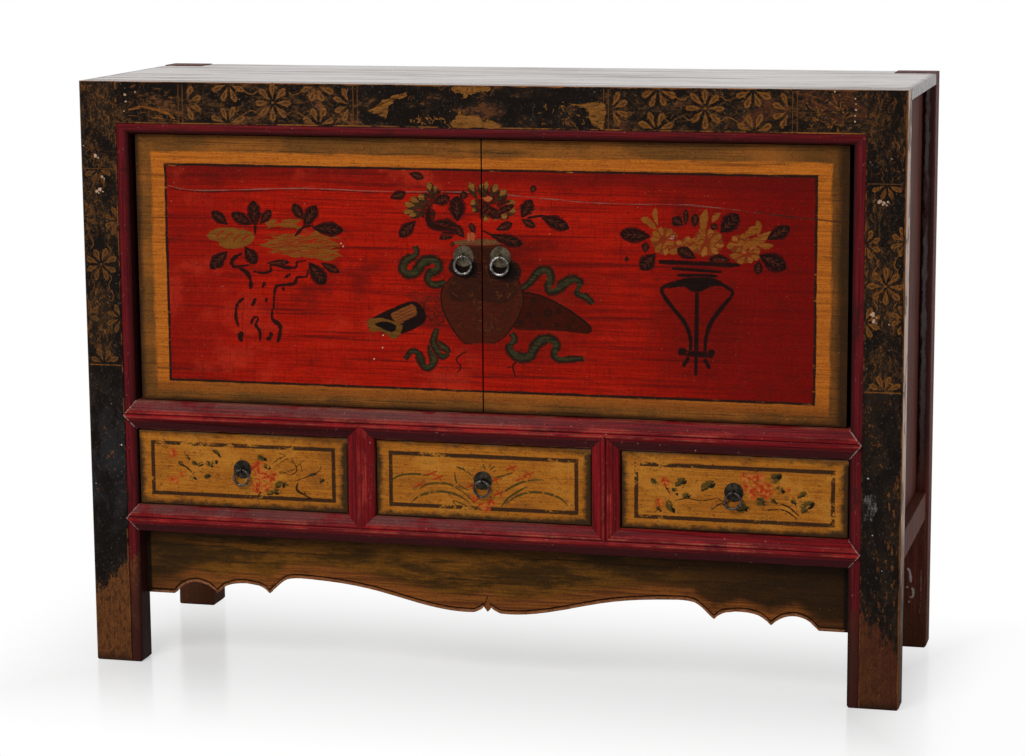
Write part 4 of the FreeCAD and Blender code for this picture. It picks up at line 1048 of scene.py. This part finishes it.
art = arts["middle"]
for x, z in ((-67, 301), (-77, 307), (-95, 289), (42, 320), (56, 305), (67, 312), (17, 301), (-18, 291),
             (23, 282)):
    art.stroke([(x - 8, z - 3), (x, z), (x + 9, z + 4)], 3.0, PETAL, 0.84)
    art.stroke([(x - 4, z + 5), (x + 2, z), (x + 5, z - 5)], 2.2, PETAL, 0.80)
peony(art, [(-1, 263), (5, 259), (-12, 272), (12, 268)], 9)
for width, line in ((3.4, [(-18, 265), (-38, 277), (-64, 281), (-93, 274), (-111, 259)]),
                    (2.6, [(-29, 286), (-55, 293), (-82, 291), (-95, 283)]),
                    (2.6, [(-81, 303), (-103, 305), (-126, 301), (-140, 291)]),
                    (2.4, [(-40, 319), (-27, 314), (-16, 306)]), (2.2, [(-42, 311), (-38, 294), (-20, 284)]),
                    (3.4, [(34, 267), (49, 279), (71, 286), (97, 285), (116, 278), (127, 266)]),
                    (3.0, [(27, 282), (45, 294), (67, 303), (90, 305)]),
                    (2.4, [(17, 305), (32, 309), (45, 314)]), (1.8, [(0, 325), (4, 315)]),
                    (1.8, [(10, 316), (19, 322)]), (3.2, [(27, 263), (40, 278), (66, 295)]),
                    (2.4, [(-24, 262), (-44, 268), (-40, 262)]), (1.6, [(-60, 296), (-30, 282), (-12, 266)])):
    art.stroke(line, width * 1.1, GREEN, 0.86, 0.2)

art = arts["right"]
peony(art, [(382, 323), (391, 319), (400, 322), (384, 307), (396, 308), (407, 308), (391, 299), (409, 299),
            (414, 307)], 12)
peony(art, [(266, 311), (257, 280)], 10)
peony(art, [(441, 307)], 5)
for row in ((295, 317, 281, 304, 9), (282, 293, 276, 302, 7), (255, 308, 246, 315, 7),
            (336, 315, 318, 299, 10), (277, 267, 271, 285, 9), (259, 269, 253, 273, 6),
            (386, 279, 368, 274, 12), (410, 287, 397, 293, 12), (430, 330, 414, 320, 12),
            (435, 305, 423, 306, 10), (466, 305, 454, 295, 6), (477, 292, 460, 274, 13),
            (452, 287, 444, 292, 8), (424, 288, 418, 293, 6), (300, 295, 292, 288, 7)):
    sprig(art, *row)
for width, line in ((1.9, [(266, 304), (274, 293)]), (1.6, [(280, 284), (296, 288), (319, 286), (341, 291)]),
                    (2.1, [(405, 276), (434, 278), (454, 266)]), (2.3, [(427, 287), (441, 283), (457, 270)]),
                    (1.9, [(332, 273), (346, 283), (355, 276)]), (1.4, [(340, 292), (352, 284), (362, 290)])):
    art.stroke(line, width, INK, 0.86)

for name, areas in (("left", ((-470, -398, 276, 322), (-352, -300, 262, 322), (-312, -250, 264, 326))),
                    ("middle", ((-130, -40, 262, 308), (-30, 30, 262, 326), (40, 125, 264, 312))),
                    ("right", ((248, 346, 268, 318), (378, 432, 270, 330), (420, 484, 266, 308)))):
    for x0, x1, z0, z1 in areas:
        scratches(arts[name], x0, x1, z0, z1, 16, (0.125, 0.055, 0.012), 0.46, 13)
        scratches(arts[name], x0, x1, z0, z1, 7, (0.060, 0.042, 0.012), 0.52, 9)
        scratches(arts[name], x0, x1, z0, z1, 4, PETAL, 0.46, 8)


def bare_wood(name, stretch):
    """Old unpainted softwood, with grain along the piece."""
    paint = Paint(name)
    grain = paint.noise(stretch, 6.0, 0.66, 1.0)
    cloud = paint.noise((5, 5, 5), 4.0, 0.6, 3.3)
    colour = paint.mix(PLAIN_WOOD, PLAIN_WOOD_DARK, paint.step(grain, 0.38, 0.64))
    colour = paint.mix(colour, (0.12, 0.066, 0.032), paint.times(paint.step(cloud, 0.44, 0.72), 0.45))
    colour = paint.grit(colour, (0.070, 0.038, 0.020), (0.40, 0.26, 0.14), 0.40, 1.7)
    return paint.finish(colour, paint.math("MULTIPLY_ADD", grain, 0.2, 0.55), grain)


wood_deep = bare_wood("bare_wood_deep", (260, 6, 260))
wood_wide = bare_wood("bare_wood_wide", (6, 260, 260))
wood_tall = bare_wood("bare_wood_tall", (260, 260, 6))
for name, (middle, half) in DRAWERS.items():
    paint = Paint("drawer_" + name + "_paint")
    paint.finish(*drawer_ground(paint, middle, half))
    dress("drawer_" + name + "_front", paint.material)
    strokes = stroke_paint("drawer_" + name + "_picture_paint", drawer_ground, (70, 260, 400), middle, half)
    arts[name].lay("drawer_" + name + "_picture", "drawer_" + name, "ochre_paint", strokes)
    dress("drawer_" + name + "_sides", wood_deep, 0.0006)
    dress("drawer_" + name + "_back", wood_wide, 0.0006)
    dress("drawer_" + name + "_bottom", wood_wide)

# Front apron: a board under the bottom rail, its lower edge sawn to scallops with a carved line along
# it, drawn as a dark line of painted shade. Olive paint over ochre, darkest at the top, rubbed brown along
# the edge with a pale painted highlight on the very edge, and painted shadow at its ends beside the posts.
APRON_FACE = FRONT + 0.026
APRON_BORDER = 0.0012
APRON_END = 0.53
SHADOW_LINE = (0.006, 0.004, 0.003)


def apron_ground(paint):
    """Olive over brown; heights is the line of the lower edge along the board."""
    grain = paint.noise((9, 200, 420), 6.0, 0.70)
    cloud = paint.noise((10, 16, 46), 6.0, 0.72, 2.0, 0.2)
    heights = paint.add("ShaderNodeValToRGB", paint.math("MULTIPLY", paint.wide, 1 / APRON_END))
    stops = [(0.0, 0.110), (0.05, 0.100), (0.12, 0.101), (0.21, 0.110), (0.32, 0.124), (0.45, 0.133),
             (0.57, 0.133), (0.63, 0.112), (0.70, 0.122), (0.78, 0.108), (0.85, 0.120), (0.92, 0.102)]
    while len(heights.color_ramp.elements) < len(stops):
        heights.color_ramp.elements.new(0.5)
    for element, (place, height) in zip(heights.color_ramp.elements, stops):
        element.position = place
        element.color = (height, height, height, 1.0)
    above = paint.sum(paint.math("SUBTRACT", paint.z, heights.outputs[0]), cloud, -0.026)
    olive = paint.mix((0.160, 0.059, 0.007), (0.042, 0.019, 0.004), paint.step(cloud, 0.37, 0.61))
    olive = paint.mix(olive, (0.015, 0.008, 0.004), paint.times(paint.step(grain, 0.50, 0.66), 0.75))
    brown = paint.mix((0.215, 0.066, 0.012), (0.095, 0.028, 0.008), paint.step(grain, 0.42, 0.60))
    colour = paint.mix(brown, olive, paint.step(above, 0.002, 0.018))
    colour = paint.mix(colour, (0.010, 0.007, 0.004), paint.times(paint.step(paint.z, 0.176, 0.200), 0.75))
    colour = paint.mix(colour, (0.018, 0.010, 0.005), paint.times(paint.step(paint.wide, 0.400, 0.522), 0.55))
    colour = paint.mix(colour, (0.018, 0.009, 0.004), paint.times(paint.step(paint.x, 0.12, 0.36),
                                                                  paint.step(above, -0.004, 0.012), 0.84))
    # Painted shadow: near black at the ends of the board, beside the posts.
    colour = paint.mix(colour, SHADOW_LINE, paint.times(paint.step(paint.wide, 0.5165, 0.5195), 0.92))
    under = paint.step(paint.facing[2], -0.30, -0.60)
    colour = paint.mix(colour, (0.110, 0.036, 0.012), paint.times(under, 0.7))
    flecks = paint.noise((240, 240, 240), 3.0, 0.6, 4.2)
    colour = paint.mix(colour, (0.36, 0.16, 0.06), paint.times(paint.step(flecks, 0.71, 0.74), 0.6))
    colour = paint.cracks(colour, (0.012, 0.007, 0.004), (30, 90, 120), 0.60, 6.4)
    colour = paint.grit(colour, (0.014, 0.008, 0.004), (0.24, 0.090, 0.018), 0.50, 3.9)
    colour = paint.bare_back(colour, grain)
    gloss = paint.math("MULTIPLY_ADD", grain, 0.22, 0.28)
    return colour, gloss, paint.sum(paint.times(grain, 0.6), cloud, 0.4)


apron = Paint("apron_paint")
apron.finish(*apron_ground(apron))
dress("front_apron", apron.material, 0.0009)

SCALLOPS = [[(5.5, 108.5), (11, 104), (20, 99.8)],
            [(20, 99.8), (60, 101), (110, 110), (170, 124), (225, 132), (270, 135), (305, 133), (333, 110)],
            [(333, 110), (345, 119), (375, 123), (400, 118), (415, 106)],
            [(415, 106), (430, 117), (450, 121), (469, 115), (483, 102)], [(483, 102), (520, 102)]]
edging = Brush(APRON_FACE + APRON_BORDER, 71)
for hand in (-1, 1):
    for run in SCALLOPS:
        # A pale band along the very edge: rubbed wear, with a painted highlight on the bead.
        edging.stroke([(hand * x, z + 2.0) for x, z in run], 3.0, (0.285, 0.120, 0.058), 0.66, 0.9, 0.25)
        # The carved line above the edge, and down the middle drop, is a dark stroke of painted shade.
        edging.stroke([(hand * x, z + 5.6) for x, z in run], 1.7, SHADOW_LINE, 0.97, 1.0, 0.2)
    edging.stroke([(hand * 5.5, 110), (0, 127)], 1.4, SHADOW_LINE, 0.95, 0.8)
edging.lay("apron_edging", "carcass", "olive_paint",
           stroke_paint("apron_edge_paint", apron_ground, (60, 200, 300)))

# Top: boards let in flush between the rails, worn to grey wood with a hard polish, ends showing at the
# sides. The back rail is the same, with its back left bare.
top = Paint("worn_top")
grain = top.noise((5, 330, 330), 6.0, 0.70)
streak = top.noise((2.5, 60, 60), 6.0, 0.68, 5.0)
colour = top.mix((0.64, 0.605, 0.585), (0.36, 0.305, 0.28), top.step(grain, 0.42, 0.62))
colour = top.mix(colour, (0.135, 0.080, 0.060), top.times(top.step(streak, 0.52, 0.60), 0.90))
edge = top.step(top.sum(top.wide, streak, 0.03), 0.604, 0.614)
colour = top.mix(colour, (0.085, 0.060, 0.052), top.times(edge, 0.7))
colour = top.bare_back(colour, grain)
relief = top.sum(top.times(grain, 0.5), streak, 0.5)
top.finish(colour, top.math("MULTIPLY_ADD", streak, 0.25, 0.22), relief, 0.0003, shine=0.28)
for name in ("top_board_front", "top_board_back", "top_back_rail"):
    dress(name, top.material, 0.0008)

# Sides and back posts: thin panels in grooves, plain rails and square back posts, in a dull purple-brown
# paint. On the back posts the front faces are darkened as painted shade, with a pale painted highlight
# along them, and the ragged gap where a panel has shrunk from the back post is painted near black as
# the shade inside it.
flank = Paint("side_paint")
grain = flank.noise((300, 300, 8), 6.0, 0.68)
patch = flank.noise((24, 24, 10), 5.0, 0.68, 6.0)
jag = flank.noise((160, 160, 45), 5.0, 0.70, 2.0)
colour = flank.mix((0.145, 0.036, 0.024), (0.058, 0.018, 0.013), flank.step(grain, 0.40, 0.62))
colour = flank.mix(colour, (0.125, 0.046, 0.022), flank.times(flank.step(patch, 0.52, 0.64), 0.8))
low = flank.step(flank.sum(flank.z, patch, 0.12), 0.16, 0.05)
colour = flank.mix(colour, (0.080, 0.030, 0.014), low)
forward = flank.step(flank.facing[1], -0.5, -0.8)
near = flank.math("ADD", flank.sum(flank.wide, jag, 0.012), -0.006)
# The gap is painted near black, standing for the shade inside it.
gap = flank.times(forward, flank.step(near, 0.5858, 0.5838), flank.step(flank.wide, 0.570, 0.576),
                  flank.step(flank.z, 0.24, 0.30))
# Painted highlight: a pale band in patches along the front face of each back post, beside the gap.
pale = flank.times(forward, flank.band(near, 0.5858, 0.5915, 0.0015), flank.step(patch, 0.36, 0.52),
                   flank.step(flank.z, 0.2, 0.5))
# Painted shade: the front faces of the back posts are darker from about 0.3 m up.
colour = flank.mix(colour, (0.036, 0.022, 0.024), flank.times(forward, flank.step(flank.z, 0.22, 0.34), 0.65))
colour = flank.mix(colour, (0.190, 0.160, 0.165), flank.times(pale, 0.7))
colour = flank.mix(colour, (0.004, 0.003, 0.003), flank.times(gap, 0.95))
colour = flank.grit(colour, (0.018, 0.008, 0.007), (0.20, 0.105, 0.080), 0.45, 4.4)
relief = flank.sum(flank.times(grain, 0.6), patch, 0.4)
flank.finish(colour, flank.math("MULTIPLY_ADD", grain, 0.25, 0.40), relief, shine=0.03)
for hand in ("left", "right"):
    dress("back_post_" + hand, flank.material, 0.0020)
    dress("side_panel_" + hand, flank.material)
    dress("side_rail_" + hand, flank.material, 0.0012)

BACK_POST_FACE = FRONT + 0.342
drips = Brush(BACK_POST_FACE, 61)
for line in ([(570, 122), (573, 120), (575, 113), (576, 101)], [(569, 94), (572, 93)],
             [(578, 93), (580, 87), (579, 79), (575, 78)], [(573, 72), (575, 70)]):
    drips.stroke(line, 3.4, (0.52, 0.46, 0.44), 0.92, 0.6, 0.3)
drips.stroke([(591, 121), (591, 90), (590, 53)], 1.8, (0.26, 0.21, 0.20), 0.66, 0.5, 0.4)


def plain_flank(paint):
    """The plain paint of a back post, under the drips."""
    grain = paint.noise((300, 300, 8), 6.0, 0.68)
    colour = paint.mix((0.066, 0.028, 0.024), (0.032, 0.015, 0.014), grain)
    return colour, paint.math("MULTIPLY_ADD", grain, 0.25, 0.30), grain


drips.lay("back_post_drips", "carcass", "side_paint", stroke_paint("drip_paint", plain_flank, (300, 300, 90)))

# Back, cupboard floor, runners, stop strip and door battens: bare boards that are seen only from behind
# or with a door or drawer open.
for name in ("back_panel", "back_rail", "cupboard_floor", "door_stop"):
    dress(name, wood_wide)
for hand in ("left", "right"):
    dress("drawer_runner_end_" + hand, wood_deep)
    dress("drawer_runner_middle_" + hand, wood_deep)
    dress("door_" + hand + "_batten", wood_tall, 0.0006)

# Ring pulls: hand-cut iron discs held by split pins, whose legs go through the board and are bent over
# behind it, with a wire ring hung in each eye. Dark iron with rubbed bright high spots.


def iron(name, dark, bright, cut):
    """Worked iron; cut is how much of it stays dark."""
    paint = Paint(name)
    pits = paint.noise((420, 420, 420), 5.0, 0.65, cut * 10)
    cloud = paint.noise((110, 110, 110), 4.0, 0.6, 3.0)
    colour = paint.mix(dark, bright,
                       paint.step(paint.sum(paint.times(pits, 0.5), cloud, 0.5), cut, cut + 0.2))
    return paint.finish(colour, paint.math("MULTIPLY_ADD", pits, 0.30, 0.20), pits, 0.0003, 0.85, 0.5)


door_iron = iron("door_plate_iron", (0.075, 0.058, 0.036), (0.185, 0.145, 0.090), 0.42)
drawer_iron = iron("drawer_plate_iron", (0.020, 0.016, 0.012), (0.090, 0.074, 0.052), 0.46)
door_ring = iron("door_ring_iron", (0.090, 0.080, 0.074), (0.62, 0.59, 0.56), 0.44)
drawer_ring = iron("drawer_ring_iron", (0.040, 0.035, 0.032), (0.30, 0.28, 0.26), 0.47)
for owner in ("door_left", "door_right", "drawer_left", "drawer_middle", "drawer_right"):
    plate_iron, ring_iron = (door_iron, door_ring) if owner.startswith("door") else (drawer_iron, drawer_ring)
    dress(owner + "_pull_plate", plate_iron)
    dress(owner + "_pull_staple", plate_iron)
    dress(owner + "_pull_ring", ring_iron)

# Floor and light: a white studio floor that runs out to a white ground, under one broad soft lamp from
# the front left, in a white room that is dim on the side of the viewer.
mesh = bpy.data.meshes.new("floor")
REACH = 3.0
mesh.from_pydata([(-REACH, -REACH, 0), (REACH, -REACH, 0), (REACH, REACH, 0),
                  (-REACH, REACH, 0)], [], [(0, 1, 2, 3)])
floor = bpy.data.objects.new("floor", mesh)
bpy.context.scene.collection.objects.link(floor)
ground = Paint("floor_white")
surface = ground.add("ShaderNodeBsdfPrincipled")
surface.inputs["Base Color"].default_value = (0.86, 0.86, 0.86, 1.0)
surface.inputs["Roughness"].default_value = 0.16
glow = ground.add("ShaderNodeEmission")
glow.inputs["Color"].default_value = (1.0, 1.0, 1.0, 1.0)
glow.inputs["Strength"].default_value = 1.0
away = ground.add("ShaderNodeVectorMath", ground.place, operation="LENGTH").outputs["Value"]
rays = ground.add("ShaderNodeLightPath")
open_floor = ground.most(ground.step(away, 0.6, 1.3), ground.step(ground.y, -0.18, 0.40),
                         ground.step(ground.y, -0.16, -0.58), ground.step(ground.x, -0.50, -0.85),
                         ground.times(ground.step(ground.x, 0.50, 0.72), 0.9))
share = ground.times(ground.math("MULTIPLY_ADD", open_floor, 0.57, 0.43), rays.outputs["Is Camera Ray"])
blend = ground.add("ShaderNodeMixShader", share, surface.outputs[0], glow.outputs[0])
ground.add("ShaderNodeOutputMaterial", blend.outputs[0])
mesh.materials.append(ground.material)

ROOM_LIGHT = 0.45
VIEWER_SIDE = 0.14
world = bpy.data.worlds.new("studio")
bpy.context.scene.world = world
world.use_nodes = True
tree = world.node_tree
tree.nodes.clear()
room = tree.nodes.new("ShaderNodeBackground")
room.inputs["Color"].default_value = (1.0, 1.0, 1.0, 1.0)
room.inputs["Strength"].default_value = ROOM_LIGHT
seen = tree.nodes.new("ShaderNodeBackground")
seen.inputs["Color"].default_value = (1.0, 1.0, 1.0, 1.0)
path = tree.nodes.new("ShaderNodeLightPath")
around = tree.nodes.new("ShaderNodeTexCoord")
parts = tree.nodes.new("ShaderNodeSeparateXYZ")
tree.links.new(around.outputs["Generated"], parts.inputs[0])
fade = tree.nodes.new("ShaderNodeMapRange")
fade.inputs["From Min"].default_value = -0.55
fade.inputs["From Max"].default_value = 0.15
fade.inputs["To Min"].default_value = VIEWER_SIDE
fade.inputs["To Max"].default_value = 1.0
tree.links.new(parts.outputs[1], fade.inputs["Value"])
level = tree.nodes.new("ShaderNodeMath")
level.operation = "MAXIMUM"
tree.links.new(path.outputs["Is Camera Ray"], level.inputs[0])
tree.links.new(fade.outputs[0], level.inputs[1])
tree.links.new(level.outputs[0], seen.inputs["Strength"])
either = tree.nodes.new("ShaderNodeMath")
either.operation = "MAXIMUM"
tree.links.new(path.outputs["Is Camera Ray"], either.inputs[0])
tree.links.new(path.outputs["Is Glossy Ray"], either.inputs[1])
choose = tree.nodes.new("ShaderNodeMixShader")
tree.links.new(either.outputs[0], choose.inputs[0])
tree.links.new(room.outputs[0], choose.inputs[1])
tree.links.new(seen.outputs[0], choose.inputs[2])
result = tree.nodes.new("ShaderNodeOutputWorld")
tree.links.new(choose.outputs[0], result.inputs["Surface"])

KEY = Vector((-0.9, -3.2, 3.2))
AIM = Vector((0.0, 0.0, 0.4))
light = bpy.data.lights.new("key", "AREA")
light.shape = "DISK"
light.size = 2.0
light.energy = 110.0
lamp = bpy.data.objects.new("key", light)
lamp.location = KEY
lamp.rotation_euler = (AIM - KEY).to_track_quat("-Z", "Y").to_euler()
bpy.context.scene.collection.objects.link(lamp)

# Camera: a long lens at eye height, to the right of the middle. Its place and turn were solved from the
# straight edges and the feet in the picture.
PITCH, ROLL, YAW = 0.17288062, 0.00682993, 0.25364925
EYE = (1.045122, FRONT - 3.850419, 1.146814)
camera = bpy.data.cameras.new("camera")
camera.sensor_width = 36.0
camera.lens = 100.1193
eye = bpy.data.objects.new("camera", camera)
turn = (Matrix.Rotation(YAW, 4, "Z") @ Matrix.Rotation(-PITCH, 4, "X") @ Matrix.Rotation(ROLL, 4, "Y")
        @ Matrix.Rotation(math.pi / 2, 4, "X"))
eye.matrix_world = Matrix.Translation(EYE) @ turn
bpy.context.scene.collection.objects.link(eye)
bpy.context.scene.camera = eye
bpy.context.scene.view_settings.view_transform = "Standard"
